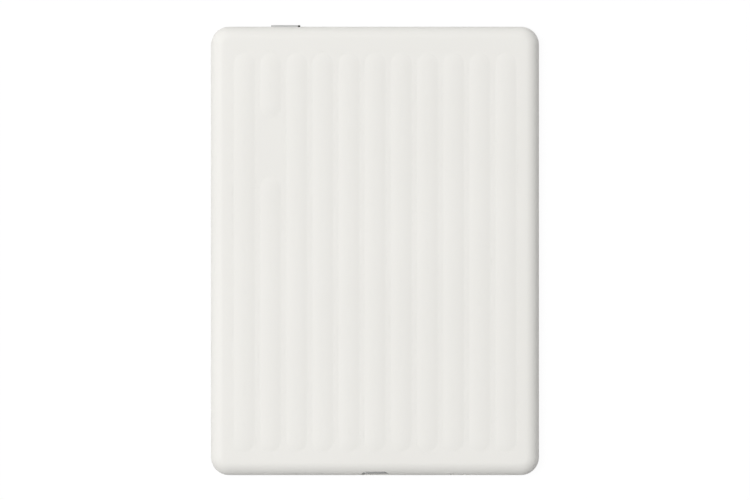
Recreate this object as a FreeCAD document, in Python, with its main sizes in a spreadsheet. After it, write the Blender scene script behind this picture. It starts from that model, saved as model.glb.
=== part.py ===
import FreeCAD, Part
import math
import os
import re
import Sketcher

# A 6-inch e-reader, lying face down with its ribbed back up.
# X runs across the back, Y towards the edge with the power button, Z out of the back.
# The origin is the centre of the outline on the plane of the front face. Millimetres.

doc = FreeCAD.newDocument("EReader")
sheet = doc.addObject("Spreadsheet::Sheet", "Sizes")

SIZES = {
    # outline and casing
    "body_width": 108.0,
    "body_length": 147.6,
    "body_depth": 6.6,
    "corner_round": 6.0,
    "back_round": 4.4,
    "front_round": 0.6,
    "side_wall": 1.2,
    "back_wall": 0.9,
    "seam_gap": 0.05,
    # ribs on the back
    "rib_count": 11,
    "rib_pitch": 8.58,
    "rib_width": 7.0,
    "rib_height": 0.2,
    "rib_root": 0.3,
    "rib_top_margin": 8.75,
    "rib_bottom_margin": 7.9,
    "plate_start": 29.9,
    "plate_end": 49.5,
    # front bezel
    "bezel_flange": 1.2,
    "bezel_lip": 0.8,
    "skirt_wall": 0.8,
    "skirt_gap": 0.1,
    "skirt_top": 2.4,
    "window_width": 92.0,
    "window_length": 124.0,
    "window_round": 1.0,
    "window_offset": 6.1,
    "boss_diameter": 2.3,
    "boss_inset": 1.45,
    "pilot_diameter": 1.2,
    "pilot_floor": 0.4,
    "frame_screw_end": 7.0,
    "frame_screw_inner": 22.0,
    # snap hooks of the cover and their windows in the bezel
    "hook_width": 6.0,
    "hook_depth": 0.5,
    "hook_bottom": 1.45,
    "hook_height": 0.45,
    "hook_play": 0.1,
    "hook_outer": 54.0,
    "hook_inner": 12.0,
    # display stack
    "display_width": 98.0,
    "display_length": 132.4,
    "display_chin": 9.2,
    "display_corner": 1.5,
    "gasket_thickness": 0.15,
    "gasket_margin": 0.5,
    "touch_thickness": 0.3,
    "guide_thickness": 0.45,
    "guide_setback": 2.0,
    "ink_thickness": 0.2,
    "ink_border": 2.0,
    "ink_setback": 4.1,
    "glass_thickness": 0.5,
    "adhesive_thickness": 0.1,
    "adhesive_border": 2.0,
    "strip_thickness": 0.1,
    "strip_setback": 0.2,
    "led_count": 12,
    "led_pitch": 7.6,
    "led_width": 3.0,
    "led_depth": 0.8,
    "led_height": 0.35,
    "led_gap": 0.1,
    # mid-frame
    "frame_thickness": 0.4,
    "frame_gap": 0.2,
    "standoff_height": 0.3,
    "standoff_diameter": 3.2,
    "film_thickness": 0.1,
    # main board
    "board_width": 98.0,
    "board_length": 47.5,
    "board_thickness": 0.8,
    "board_edge_gap": 1.1,
    "board_corner": 1.5,
    "board_screw_inset": 2.5,
    "board_screw_low": 3.5,
    "board_screw_high": 44.0,
    "board_screw_middle": 8.0,
    "board_screw_port": 10.5,
    "notch_end": 8.0,
    "notch_play": 0.7,
    "can_play": 0.2,
    "can_wall": 0.15,
    "can_corner": 0.6,
    "pad_thickness": 0.15,
    "pad_side": 8.0,
    "graphite_thickness": 0.05,
    "graphite_inset": 1.2,
    # capacitors beside the power chips
    "capacitor_width": 1.0,
    "capacitor_length": 0.5,
    "capacitor_height": 0.5,
    "capacitor_pitch": 1.9,
    "capacitor_spacing": 1.6,
    "capacitor_row": 7,
    # screws
    "screw_shank": 1.1,
    "frame_head": 2.0,
    "frame_head_height": 0.3,
    "board_head": 2.4,
    "board_head_height": 0.6,
    "screw_tip_gap": 0.05,
    "driver_slot": 0.35,
    "driver_depth": 0.15,
    # flexible circuits
    "flex_thickness": 0.1,
    "flex_bend_gap": 0.4,
    "flex_bond": 3.0,
    "flex_lift": 0.2,
    "connector_height": 0.9,
    "connector_length": 4.5,
    "connector_margin": 1.0,
    "connector_setback": 3.5,
    "display_flex_x": -26.0,
    "display_flex_width": 24.0,
    "light_flex_x": 13.0,
    "light_flex_width": 6.0,
    "touch_flex_x": 39.0,
    "touch_flex_width": 8.0,
    "touch_flex_bond": 0.9,
    # battery
    "cell_width": 62.0,
    "cell_length": 76.0,
    "cell_round": 1.0,
    "cell_edge": 0.7,
    "cell_board_gap": 8.0,
    "tape_thickness": 0.1,
    "tape_border": 3.0,
    "foam_thickness": 0.3,
    "foam_width": 8.0,
    "cell_board_x": 17.0,
    "cell_board_width": 30.0,
    "cell_board_length": 3.3,
    "cell_board_height": 1.9,
    "lead_diameter": 0.8,
    "lead_pitch": 3.0,
    "lead_x": 27.0,
    "lead_drop": 3.0,
    "plug_width": 6.0,
    "plug_length": 3.9,
    "plug_height": 1.1,
    # port, microphone and reset switch on the bottom edge
    "port_level": 3.6,
    "port_width": 8.94,
    "port_height": 3.16,
    "port_wall": 0.3,
    "port_depth": 7.35,
    "port_recess": 0.7,
    "port_play": 0.08,
    "port_back": 0.2,
    "port_ear": 1.5,
    "port_ear_root": 0.27,
    "port_ear_front": 2.5,
    "port_ear_rear": 6.1,
    "port_ear_thickness": 0.15,
    "tongue_width": 6.69,
    "tongue_height": 0.7,
    "tongue_recess": 0.9,
    "tongue_base": 1.3,
    "contact_count": 12,
    "contact_pitch": 0.5,
    "contact_width": 0.28,
    "contact_length": 4.0,
    "contact_thickness": 0.04,
    "reset_x": 29.1,
    "reset_hole": 1.5,
    "reset_width": 3.0,
    "reset_depth": 1.7,
    "reset_height": 1.3,
    "reset_setback": 1.8,
    "reset_shelf": 0.8,
    "reset_plunger_width": 1.6,
    "reset_plunger_height": 0.7,
    "reset_plunger_proud": 0.6,
    "plunger_inside": 0.5,
    "plunger_play": 0.05,
    "switch_floor": 0.2,
    "sound_x": 25.2,
    "sound_hole": 1.0,
    "sound_width": 3.5,
    "sound_length": 2.65,
    "sound_height": 0.98,
    "boot_depth": 0.9,
    "boot_top": 0.3,
    "boot_slot": 1.0,
    "boot_wall": 0.15,
    "mesh_diameter": 1.6,
    "mesh_thickness": 0.1,
    "sound_setback": 2.0,
    # power button on the top edge
    "button_x": -29.4,
    "button_level": 2.5,
    "button_width": 9.7,
    "button_height": 1.5,
    "button_proud": 0.5,
    "button_play": 0.15,
    "button_round": 0.7,
    "button_edge": 0.25,
    "button_flange": 0.6,
    "button_flange_margin": 0.9,
    "button_flange_height": 2.4,
    "button_rest_gap": 0.1,
    "button_room": 2.0,
    "button_post": 0.45,
    "button_post_width": 1.6,
    "key_gap": 0.05,
    "key_width": 3.6,
    "key_depth": 1.1,
    "key_height": 1.6,
    "key_plunger_width": 2.0,
    "key_plunger_height": 0.9,
    "key_plunger_proud": 0.5,
    "stiffener_thickness": 0.2,
    "stiffener_width": 8.0,
    "key_notch_play": 1.0,
    "key_flex_x": -38.0,
    "key_flex_width": 4.0,
    "key_flex_ramp": 3.0,
    # antenna
    "antenna_x": 37.0,
    "antenna_width": 14.0,
    "antenna_length": 24.0,
    "antenna_under": 8.0,
    "spring_width": 1.5,
    "spring_length": 2.5,
}

# Chips and coils on the board: centre across, centre above the board's lower edge, width, length, height.
# The processor and its can have no height here, because they reach up to what lies over them.
CHIPS = {
    "processor": (-10.0, 28.5, 12.0, 12.0),
    "memory_a": (4.5, 33.0, 11.0, 8.0, 0.8),
    "memory_b": (4.5, 23.0, 11.0, 8.0, 0.8),
    "can": (-3.0, 28.5, 34.0, 24.0),
    "power_a": (24.0, 28.0, 5.0, 5.0, 0.7),
    "power_b": (24.0, 20.0, 4.0, 4.0, 0.7),
    "power_c": (-32.0, 26.0, 5.0, 5.0, 0.7),
    "coil_a": (30.5, 28.0, 3.0, 3.0, 1.0),
    "coil_b": (29.5, 20.0, 3.0, 3.0, 1.0),
    "coil_c": (-26.5, 26.0, 2.5, 2.5, 1.0),
    "coil_d": (-38.0, 26.0, 3.0, 3.0, 1.0),
    "radio": (39.0, 34.0, 10.0, 9.0, 1.1),
}

for chip, numbers in CHIPS.items():
    for suffix, number in zip(("x", "y", "wide", "long", "high"), numbers):
        SIZES[chip + "_" + suffix] = number

for row, (alias, number) in enumerate(SIZES.items(), start=1):
    sheet.set("A%d" % row, alias)
    sheet.set("B%d" % row, str(number))
    sheet.setAlias("B%d" % row, alias)
doc.recompute()

# Places worked out from the sizes. Those that end in _X and _Y are half widths from the middle.
OUTLINE = ("-body_width / 2", "body_width / 2", "-body_length / 2", "body_length / 2", "corner_round")
CAVITY_X = "(body_width / 2 - side_wall)"
CAVITY_Y = "(body_length / 2 - side_wall)"
CAVITY_CORNER = "(corner_round - side_wall)"
SKIRT_X = "(%s - skirt_gap)" % CAVITY_X
SKIRT_Y = "(%s - skirt_gap)" % CAVITY_Y
SEAM = "(bezel_flange + seam_gap)"
BACK_INSIDE = "(body_depth - back_wall)"

TOUCH = "(bezel_lip + gasket_thickness)"
GUIDE = "(%s + touch_thickness)" % TOUCH
INK = "(%s + guide_thickness)" % GUIDE
GLASS = "(%s + ink_thickness)" % INK
ADHESIVE = "(%s + glass_thickness)" % GLASS
FRAME = "(%s + adhesive_thickness)" % ADHESIVE
FRAME_BACK = "(%s + frame_thickness)" % FRAME
BOARD = "(%s + standoff_height)" % FRAME_BACK
BOARD_BACK = "(%s + board_thickness)" % BOARD

DISPLAY_LOW = "(display_chin - body_length / 2)"
DISPLAY_HIGH = "(%s + display_length)" % DISPLAY_LOW
BOARD_LOW = "(board_edge_gap - %s)" % CAVITY_Y
BOARD_HIGH = "(%s + board_length)" % BOARD_LOW
NOTCH_HIGH = "(%s + notch_end)" % BOARD_LOW
CELL_LOW = "(%s + cell_board_gap)" % BOARD_HIGH
CELL = "(%s + tape_thickness)" % FRAME_BACK
CELL_BACK = "(%s - foam_thickness)" % BACK_INSIDE
CONNECTOR_FACE = "(%s + connector_setback)" % NOTCH_HIGH

PORT_MOUTH = "(port_recess - body_length / 2)"
PORT_END = "(%s + port_depth)" % PORT_MOUTH
RESET_FACE = "(reset_setback - %s)" % CAVITY_Y
SOUND_FACE = "(sound_setback - %s)" % CAVITY_Y

FLANGE_FACE = "(%s - button_rest_gap)" % CAVITY_Y
POST_TOP = "(%s - button_flange)" % FLANGE_FACE
PLUNGER_TOP = "(%s - button_post - key_gap)" % POST_TOP
KEY_FACE = "(%s - key_plunger_proud)" % PLUNGER_TOP
KEY_BACK = "(%s - key_depth)" % KEY_FACE
STIFFENER_FACE = "(%s - flex_thickness)" % KEY_BACK
TAB_FACE = "(%s - stiffener_thickness)" % STIFFENER_FACE

FRAME_SCREW_X = "(%s - skirt_wall - boss_inset)" % SKIRT_X
FRAME_SCREW_Y = "(%s - frame_screw_end)" % CAVITY_Y

parts = []


def linked(text):
    """The expression, with every size's name pointed at the sheet."""
    return re.sub(r"[a-z][a-z_]*", lambda m: "Sizes." + m.group() if m.group() in SIZES else m.group(), text)


def value(text):
    """What the expression comes to now."""
    return float(sheet.evalExpression(linked(text)))


def bind(thing, **places):
    """Bind properties to expressions. A double underscore in a name stands for a dot."""
    for place, text in places.items():
        thing.setExpression(place.replace("__", "."), linked(text))


# ---- sketches ----


def body_named(label):
    """A new sub-part that is built from features."""
    body = doc.addObject("PartDesign::Body", label)
    body.Label = label
    parts.append(body)
    return body


def sketch_on(body, plane, level="0"):
    """A sketch on one of the body's own planes, moved to a level along Z, Y or X."""
    support = next(f for f in body.Origin.OriginFeatures if f.Role == plane + "_Plane")
    sketch = body.newObject("Sketcher::SketchObject", "Sketch")
    sketch.AttachmentSupport = (support, [""])
    sketch.MapMode = "FlatFace"
    # the normal of the XZ plane points along -Y
    bind(sketch, AttachmentOffset__Base__z="-(%s)" % level if plane == "XZ" else level)
    return sketch


def pin_point(sketch, geometry, end, x, y):
    """Hold one point of the sketch at a place given by two expressions."""
    for kind, text in (("DistanceX", x), ("DistanceY", y)):
        index = sketch.addConstraint(Sketcher.Constraint(kind, -1, 1, geometry, end, value(text)))
        sketch.setExpression("Constraints[%d]" % index, linked(text))


def measure(sketch, text, *constraint):
    """Add a dimension and bind it."""
    index = sketch.addConstraint(Sketcher.Constraint(*constraint, value(text)))
    sketch.setExpression("Constraints[%d]" % index, linked(text))


def polygon(sketch, corners):
    """A closed outline of straight lines through corners given as pairs of expressions."""
    places = [FreeCAD.Vector(value(x), value(y), 0) for x, y in corners]
    count = len(places)
    first = sketch.GeometryCount
    for i in range(count):
        sketch.addGeometry(Part.LineSegment(places[i], places[(i + 1) % count]))
    for i in range(count):
        following = first + (i + 1) % count
        sketch.addConstraint(Sketcher.Constraint("Coincident", first + i, 2, following, 1))
    for i, (x, y) in enumerate(corners):
        pin_point(sketch, first + i, 1, x, y)


def rectangle(sketch, left, right, low, high):
    """A rectangle between four expressions."""
    polygon(sketch, [(left, low), (right, low), (right, high), (left, high)])


def circle(sketch, x, y, diameter):
    """A circle with its centre and its diameter bound."""
    centre = FreeCAD.Vector(value(x), value(y), 0)
    index = sketch.addGeometry(Part.Circle(centre, FreeCAD.Vector(0, 0, 1), value(diameter) / 2))
    pin_point(sketch, index, 3, x, y)
    measure(sketch, diameter, "Diameter", index)


def corner_arc(x, y, radius, start):
    """A quarter arc about a corner's centre, from an angle in quarter turns."""
    whole = Part.Circle(FreeCAD.Vector(x, y, 0), FreeCAD.Vector(0, 0, 1), radius)
    return Part.ArcOfCircle(whole, start * math.pi / 2, (start + 1) * math.pi / 2)


def rounded(sketch, left, right, low, high, corner):
    """A rectangle with four equal round corners."""
    x0, x1, y0, y1, r = (value(text) for text in (left, right, low, high, corner))
    point = FreeCAD.Vector
    first = sketch.GeometryCount
    for piece in (
        Part.LineSegment(point(x0 + r, y0, 0), point(x1 - r, y0, 0)),
        corner_arc(x1 - r, y0 + r, r, 3),
        Part.LineSegment(point(x1, y0 + r, 0), point(x1, y1 - r, 0)),
        corner_arc(x1 - r, y1 - r, r, 0),
        Part.LineSegment(point(x1 - r, y1, 0), point(x0 + r, y1, 0)),
        corner_arc(x0 + r, y1 - r, r, 1),
        Part.LineSegment(point(x0, y1 - r, 0), point(x0, y0 + r, 0)),
        corner_arc(x0 + r, y0 + r, r, 2),
    ):
        sketch.addGeometry(piece)
    for i in range(8):
        sketch.addConstraint(Sketcher.Constraint("Tangent", first + i, 2, first + (i + 1) % 8, 1))
    for i in (0, 4):
        sketch.addConstraint(Sketcher.Constraint("Horizontal", first + i))
        sketch.addConstraint(Sketcher.Constraint("Vertical", first + i + 2))
    for i in (3, 5, 7):
        sketch.addConstraint(Sketcher.Constraint("Equal", first + 1, first + i))
    measure(sketch, corner, "Radius", first + 1)
    measure(sketch, left, "DistanceX", -1, 1, first + 6, 1)
    measure(sketch, right, "DistanceX", -1, 1, first + 2, 1)
    measure(sketch, low, "DistanceY", -1, 1, first, 1)
    measure(sketch, high, "DistanceY", -1, 1, first + 4, 1)


def stadium(sketch, x, y, width, height):
    """A slot with half-round ends, lying along the sketch's X."""
    cx, cy, wide, high = (value(text) for text in (x, y, width, height))
    r = high / 2
    reach = wide / 2 - r
    first = sketch.GeometryCount
    right = Part.Circle(FreeCAD.Vector(cx + reach, cy, 0), FreeCAD.Vector(0, 0, 1), r)
    left = Part.Circle(FreeCAD.Vector(cx - reach, cy, 0), FreeCAD.Vector(0, 0, 1), r)
    point = FreeCAD.Vector
    sketch.addGeometry(Part.LineSegment(point(cx - reach, cy - r, 0), point(cx + reach, cy - r, 0)))
    sketch.addGeometry(Part.ArcOfCircle(right, -math.pi / 2, math.pi / 2))
    sketch.addGeometry(Part.LineSegment(point(cx + reach, cy + r, 0), point(cx - reach, cy + r, 0)))
    sketch.addGeometry(Part.ArcOfCircle(left, math.pi / 2, 3 * math.pi / 2))
    for i in range(4):
        sketch.addConstraint(Sketcher.Constraint("Tangent", first + i, 2, first + (i + 1) % 4, 1))
    sketch.addConstraint(Sketcher.Constraint("Horizontal", first))
    sketch.addConstraint(Sketcher.Constraint("Equal", first + 1, first + 3))
    measure(sketch, "%s / 2" % height, "Radius", first + 1)
    measure(sketch, "%s - %s" % (width, height), "DistanceX", first + 3, 3, first + 1, 3)
    pin_point(sketch, first + 1, 3, "%s + (%s - %s) / 2" % (x, width, height), y)


# ---- features ----


def pad(body, sketch, length, backwards=False):
    """Grow the body from a sketch."""
    feature = body.newObject("PartDesign::Pad", "Pad")
    feature.Profile = sketch
    feature.Reversed = backwards
    bind(feature, Length=length)
    sketch.Visibility = False
    return feature


def cut(body, sketch, length, forwards=False):
    """Cut a pocket of a set depth and make sure that it took something away."""
    doc.recompute()
    before = body.Shape.Volume
    feature = body.newObject("PartDesign::Pocket", "Pocket")
    feature.Profile = sketch
    feature.Reversed = forwards
    bind(feature, Length=length)
    doc.recompute()
    if not body.Shape.Volume < before:
        raise ValueError("a pocket of %s cuts nothing" % body.Label)
    return feature


def round_edges(body, radius, wanted):
    """Fillet the edges whose middle passes a test."""
    doc.recompute()
    base = body.Tip
    names = []
    for number, edge in enumerate(base.Shape.Edges, start=1):
        if wanted(edge.CenterOfMass):
            names.append("Edge%d" % number)
    feature = body.newObject("PartDesign::Fillet", "Fillet")
    feature.Base = (base, names)
    bind(feature, Radius=radius)
    return feature


def plate(label, left, right, low, high, corner, level, thickness):
    """A flat sheet with round corners."""
    body = body_named(label)
    sketch = sketch_on(body, "XY", level)
    rounded(sketch, left, right, low, high, corner)
    pad(body, sketch, thickness)
    return body


def box(label, left, right, low, high, level, top):
    """A plain block between six expressions, which is not yet a sub-part."""
    block = doc.addObject("Part::Box", label)
    block.Label = label
    bind(
        block,
        Length="%s - (%s)" % (right, left),
        Width="%s - (%s)" % (high, low),
        Height="%s - (%s)" % (top, level),
        Placement__Base__x=left,
        Placement__Base__y=low,
        Placement__Base__z=level,
    )
    return block


def block(label, *sides):
    """A plain block that is a sub-part."""
    piece = box(label, *sides)
    parts.append(piece)
    return piece


def group(label, pieces):
    """Several separate solids that share one node."""
    together = doc.addObject("Part::Compound", label)
    together.Label = label
    together.Links = pieces
    parts.append(together)
    return together


def chip(label, name, level=BOARD_BACK, top=None):
    """A block at the place that the chip's own values give."""
    y = "(%s + %s_y)" % (BOARD_LOW, name)
    top = top or "%s + %s_high" % (level, name)
    return box(
        label,
        "%s_x - %s_wide / 2" % (name, name),
        "%s_x + %s_wide / 2" % (name, name),
        "%s - %s_long / 2" % (y, name),
        "%s + %s_long / 2" % (y, name),
        level,
        top,
    )


# ---- casing ----


def rib(body, x, low, high):
    """One convex rib with half-round ends: a straight pad and a half turn at each end."""
    top = "(body_depth + rib_height)"
    root = "(body_depth - rib_root)"
    swell = "((rib_width * rib_width / 4 + rib_height * rib_height) / (2 * rib_height))"
    features = []
    for start, turn in ((low, "pad"), (low, "low"), (high, "high")):
        sketch = sketch_on(body, "XZ", start)
        bind(sketch, AttachmentOffset__Base__x=x)
        left = "-rib_width / 2" if turn == "pad" else "0"
        half = value("rib_width / 2")
        radius = value(swell)
        centre = FreeCAD.Vector(0, value(top) - radius, 0)
        spread = math.asin(half / radius)
        last = math.pi / 2 + (spread if turn == "pad" else 0)
        whole = Part.Circle(centre, FreeCAD.Vector(0, 0, 1), radius)
        arc = Part.ArcOfCircle(whole, math.pi / 2 - spread, last)
        foot = "body_depth" if turn == "pad" else top
        points = [(left, foot), (left, root), ("rib_width / 2", root), ("rib_width / 2", "body_depth")]
        places = [FreeCAD.Vector(value(px), value(pz), 0) for px, pz in points]
        for i in range(3):
            sketch.addGeometry(Part.LineSegment(places[i], places[i + 1]))
        sketch.addGeometry(arc)
        for i in range(2):
            sketch.addConstraint(Sketcher.Constraint("Coincident", i, 2, i + 1, 1))
        sketch.addConstraint(Sketcher.Constraint("Coincident", 2, 2, 3, 1))
        sketch.addConstraint(Sketcher.Constraint("Coincident", 3, 2, 0, 1))
        for i, (px, pz) in enumerate(points[:3]):
            pin_point(sketch, i, 1, px, pz)
        pin_point(sketch, 2, 2, *points[3])
        measure(sketch, swell, "Radius", 3)
        if turn == "pad":
            features.append(pad(body, sketch, "%s - (%s)" % (high, low), backwards=True))
            continue
        dome = body.newObject("PartDesign::Revolution", "RibEnd")
        dome.Profile = sketch
        dome.ReferenceAxis = (sketch, ["V_Axis"])
        dome.Angle = 180
        dome.Reversed = turn == "low"
        features.append(dome)
    return features


def rear_cover():
    body = body_named("rear_cover")
    outline = sketch_on(body, "XY", SEAM)
    rounded(outline, *OUTLINE)
    pad(body, outline, "body_depth - %s" % SEAM)
    back = value("body_depth")
    round_edges(body, "back_round", lambda p: abs(p.z - back) < 0.01)
    core = doc.addObject("PartDesign::Body", "cover_core")
    hollow = sketch_on(core, "XY", SEAM)
    rounded(hollow, "-" + CAVITY_X, CAVITY_X, "-" + CAVITY_Y, CAVITY_Y, CAVITY_CORNER)
    pad(core, hollow, "%s - %s" % (BACK_INSIDE, SEAM))
    inside = value(BACK_INSIDE)
    round_edges(core, "back_round - (side_wall + back_wall) / 2", lambda p: abs(p.z - inside) < 0.01)
    doc.recompute()
    hollowed = body.newObject("PartDesign::Boolean", "Hollow")
    hollowed.setObjects([core])
    hollowed.Type = "Cut"
    doc.recompute()

    # ribs: the second from the left stops short of the bare plate and goes on below it
    low = "(rib_bottom_margin + rib_width / 2 - body_length / 2)"
    high = "(body_length / 2 - rib_top_margin - rib_width / 2)"
    first = "(-rib_pitch * (rib_count - 1) / 2)"
    rib(body, first, low, high)
    second = "(%s + rib_pitch)" % first
    rib(body, second, low, "(body_length / 2 - plate_end - rib_width / 2)")
    rib(body, second, "(body_length / 2 - plate_start + rib_width / 2)", high)
    third = rib(body, "(%s + 2 * rib_pitch)" % first, low, high)
    doc.recompute()
    row = body.newObject("PartDesign::LinearPattern", "RibRow")
    row.Originals = third
    across = next(f for f in body.Origin.OriginFeatures if f.Role == "X_Axis")
    row.Direction = (across, [""])
    bind(row, Length="rib_pitch * (rib_count - 3)", Occurrences="rib_count - 2")
    body.Tip = row
    doc.recompute()

    # openings in the bottom edge
    for x, diameter in (("reset_x", "reset_hole"), ("sound_x", "sound_hole")):
        hole = sketch_on(body, "XZ", "-body_length / 2")
        circle(hole, x, "port_level", diameter)
        cut(body, hole, "back_round")
    mouth = sketch_on(body, "XZ", "-body_length / 2")
    stadium(mouth, "0", "port_level", "(port_width + 2 * port_play)", "(port_height + 2 * port_play)")
    cut(body, mouth, "back_round")

    # slot for the power button in the top edge
    slot = sketch_on(body, "XZ", "body_length / 2")
    half = "(button_width / 2 + button_play)"
    rounded(
        slot,
        "button_x - " + half,
        "button_x + " + half,
        "button_level - button_height / 2 - button_play",
        "button_level + button_height / 2 + button_play",
        "button_round + button_play",
    )
    cut(body, slot, "back_round", forwards=True)

    # flat seat inside the slot, where the button's flange comes to rest
    seat = sketch_on(body, "XZ", CAVITY_Y)
    half = "(button_width / 2 + button_flange_margin + button_play)"
    high = "button_level + button_flange_height / 2 + button_play"
    rectangle(seat, "button_x - " + half, "button_x + " + half, "bezel_flange", high)
    cut(body, seat, "button_room", forwards=True)

    # snap hooks along the long sides
    hooks = sketch_on(body, "XY", "hook_bottom")
    for y in ("-hook_outer", "-hook_inner", "hook_inner", "hook_outer"):
        for side in (-1, 1):
            inner = "%d * (%s - hook_depth)" % (side, CAVITY_X)
            outer = "%d * (%s + side_wall / 2)" % (side, CAVITY_X)
            left, right = (inner, outer) if side > 0 else (outer, inner)
            rectangle(hooks, left, right, "%s - hook_width / 2" % y, "%s + hook_width / 2" % y)
    pad(body, hooks, "hook_height")


def front_bezel():
    body = body_named("front_bezel")
    outline = sketch_on(body, "XY")
    rounded(outline, *OUTLINE)
    pad(body, outline, "bezel_flange")
    round_edges(body, "front_round", lambda p: abs(p.z) < 0.01)

    skirt = sketch_on(body, "XY", "bezel_flange")
    rounded(skirt, "-" + SKIRT_X, SKIRT_X, "-" + SKIRT_Y, SKIRT_Y, "%s - skirt_gap" % CAVITY_CORNER)
    pad(body, skirt, "skirt_top - bezel_flange")
    recess = sketch_on(body, "XY", "skirt_top")
    inner_x = "(%s - skirt_wall)" % SKIRT_X
    inner_y = "(%s - skirt_wall)" % SKIRT_Y
    corner = "%s - skirt_gap - skirt_wall" % CAVITY_CORNER
    rounded(recess, "-" + inner_x, inner_x, "-" + inner_y, inner_y, corner)
    cut(body, recess, "skirt_top - bezel_lip")
    window = sketch_on(body, "XY", "bezel_lip")
    low = "(%s + window_offset)" % DISPLAY_LOW
    rounded(window, "-window_width / 2", "window_width / 2", low, "%s + window_length" % low, "window_round")
    cut(body, window, "bezel_lip")

    bosses = sketch_on(body, "XY", "bezel_lip")
    pilots = sketch_on(body, "XY", FRAME)
    for x, y in frame_screw_places():
        circle(bosses, x, y, "boss_diameter")
        circle(pilots, x, y, "pilot_diameter")
    pad(body, bosses, "%s - bezel_lip" % FRAME)
    cut(body, pilots, "%s - bezel_lip - pilot_floor" % FRAME)

    # windows that the cover's hooks catch in
    windows = sketch_on(body, "YZ", "-body_width / 2")
    for y in ("-hook_outer", "-hook_inner", "hook_inner", "hook_outer"):
        rectangle(
            windows,
            "%s - hook_width / 2 - hook_play" % y,
            "%s + hook_width / 2 + hook_play" % y,
            "hook_bottom - hook_play",
            "hook_bottom + hook_height + hook_play",
        )
    cut(body, windows, "body_width", forwards=True)

    # gaps in the skirt for the port and for the button's flange
    gap = sketch_on(body, "XZ", "-body_length / 2")
    half = "(port_width / 2 + port_ear)"
    rectangle(gap, "-" + half, half, "port_level - port_height / 2 - skirt_gap", "skirt_top + skirt_gap")
    cut(body, gap, "side_wall + skirt_gap + 2 * skirt_wall")
    gap = sketch_on(body, "XZ", "body_length / 2")
    half = "(button_width / 2 + button_flange_margin + key_notch_play)"
    rectangle(gap, "button_x - " + half, "button_x + " + half, "bezel_flange", "skirt_top + skirt_gap")
    cut(body, gap, "side_wall + skirt_gap + 2 * skirt_wall", forwards=True)


def frame_screw_places():
    places = []
    for x in ("-" + FRAME_SCREW_X, FRAME_SCREW_X):
        for y in ("-" + FRAME_SCREW_Y, "-frame_screw_inner", "frame_screw_inner", FRAME_SCREW_Y):
            places.append((x, y))
    return places


def board_screw_places():
    side = "(board_width / 2 - board_screw_inset)"
    places = []
    for x in ("-" + side, side):
        places.append((x, "%s + board_screw_low" % BOARD_LOW))
        places.append((x, "%s + board_screw_high" % BOARD_LOW))
    for x in ("-board_screw_middle", "board_screw_middle"):
        places.append((x, "%s + board_screw_port" % BOARD_LOW))
    return places


FLEX_NOTCHES = (
    ("display_flex_x", "display_flex_width"),
    ("light_flex_x", "light_flex_width"),
    ("touch_flex_x", "touch_flex_width"),
)


def notch_flexes(sketch, low):
    """Openings in the lower edge where the three display circuits fold round."""
    for x, width in FLEX_NOTCHES:
        half = "(%s / 2 + notch_play)" % width
        rectangle(sketch, "%s - %s" % (x, half), "%s + %s" % (x, half), low, NOTCH_HIGH)


def mid_frame():
    edge_x = "(%s - frame_gap)" % CAVITY_X
    edge_y = "(%s - frame_gap)" % CAVITY_Y
    corner = "%s - frame_gap" % CAVITY_CORNER
    body = plate("mid_frame", "-" + edge_x, edge_x, "-" + edge_y, edge_y, corner, FRAME, "frame_thickness")
    openings = sketch_on(body, "XY", FRAME_BACK)
    low = "-(%s + frame_gap)" % CAVITY_Y
    notch_flexes(openings, low)
    half = "(port_width / 2 + port_ear)"
    rectangle(openings, "-" + half, half, low, "%s + frame_gap" % PORT_END)
    key_half = "(button_width / 2 + button_flange_margin + key_notch_play)"
    rectangle(openings, "button_x - " + key_half, "button_x + " + key_half, TAB_FACE, "body_length / 2")
    for x, y in frame_screw_places():
        circle(openings, x, y, "screw_shank + 2 * port_play")
    cut(body, openings, "frame_thickness")

    # posts under the board
    posts = sketch_on(body, "XY", FRAME_BACK)
    threads = sketch_on(body, "XY", BOARD)
    for x, y in board_screw_places():
        circle(posts, x, y, "standoff_diameter")
        circle(threads, x, y, "pilot_diameter")
    pad(body, posts, "standoff_height")
    cut(body, threads, "standoff_height + frame_thickness")

    # the tab behind the power switch hangs down from the plate's edge
    tab = sketch_on(body, "XY", FRAME_BACK)
    half = "(stiffener_width / 2)"
    rectangle(tab, "button_x - " + half, "button_x + " + half, "%s - frame_thickness" % TAB_FACE, TAB_FACE)
    pad(body, tab, "%s - button_level + key_height / 2" % FRAME_BACK, backwards=True)


def frame_screws():
    screws = []
    for number, (x, y) in enumerate(frame_screw_places(), start=1):
        tip = "(bezel_lip + pilot_floor + screw_tip_gap)"
        label = "frame_screw_%d" % number
        screws.append(screw(label, x, y, tip, FRAME_BACK, "frame_head", "frame_head_height"))
    group("frame_screws", screws)


def board_screws():
    screws = []
    for number, (x, y) in enumerate(board_screw_places(), start=1):
        tip = "(%s + screw_tip_gap)" % FRAME
        label = "board_screw_%d" % number
        screws.append(screw(label, x, y, tip, BOARD_BACK, "board_head", "board_head_height"))
    group("board_screws", screws)


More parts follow.
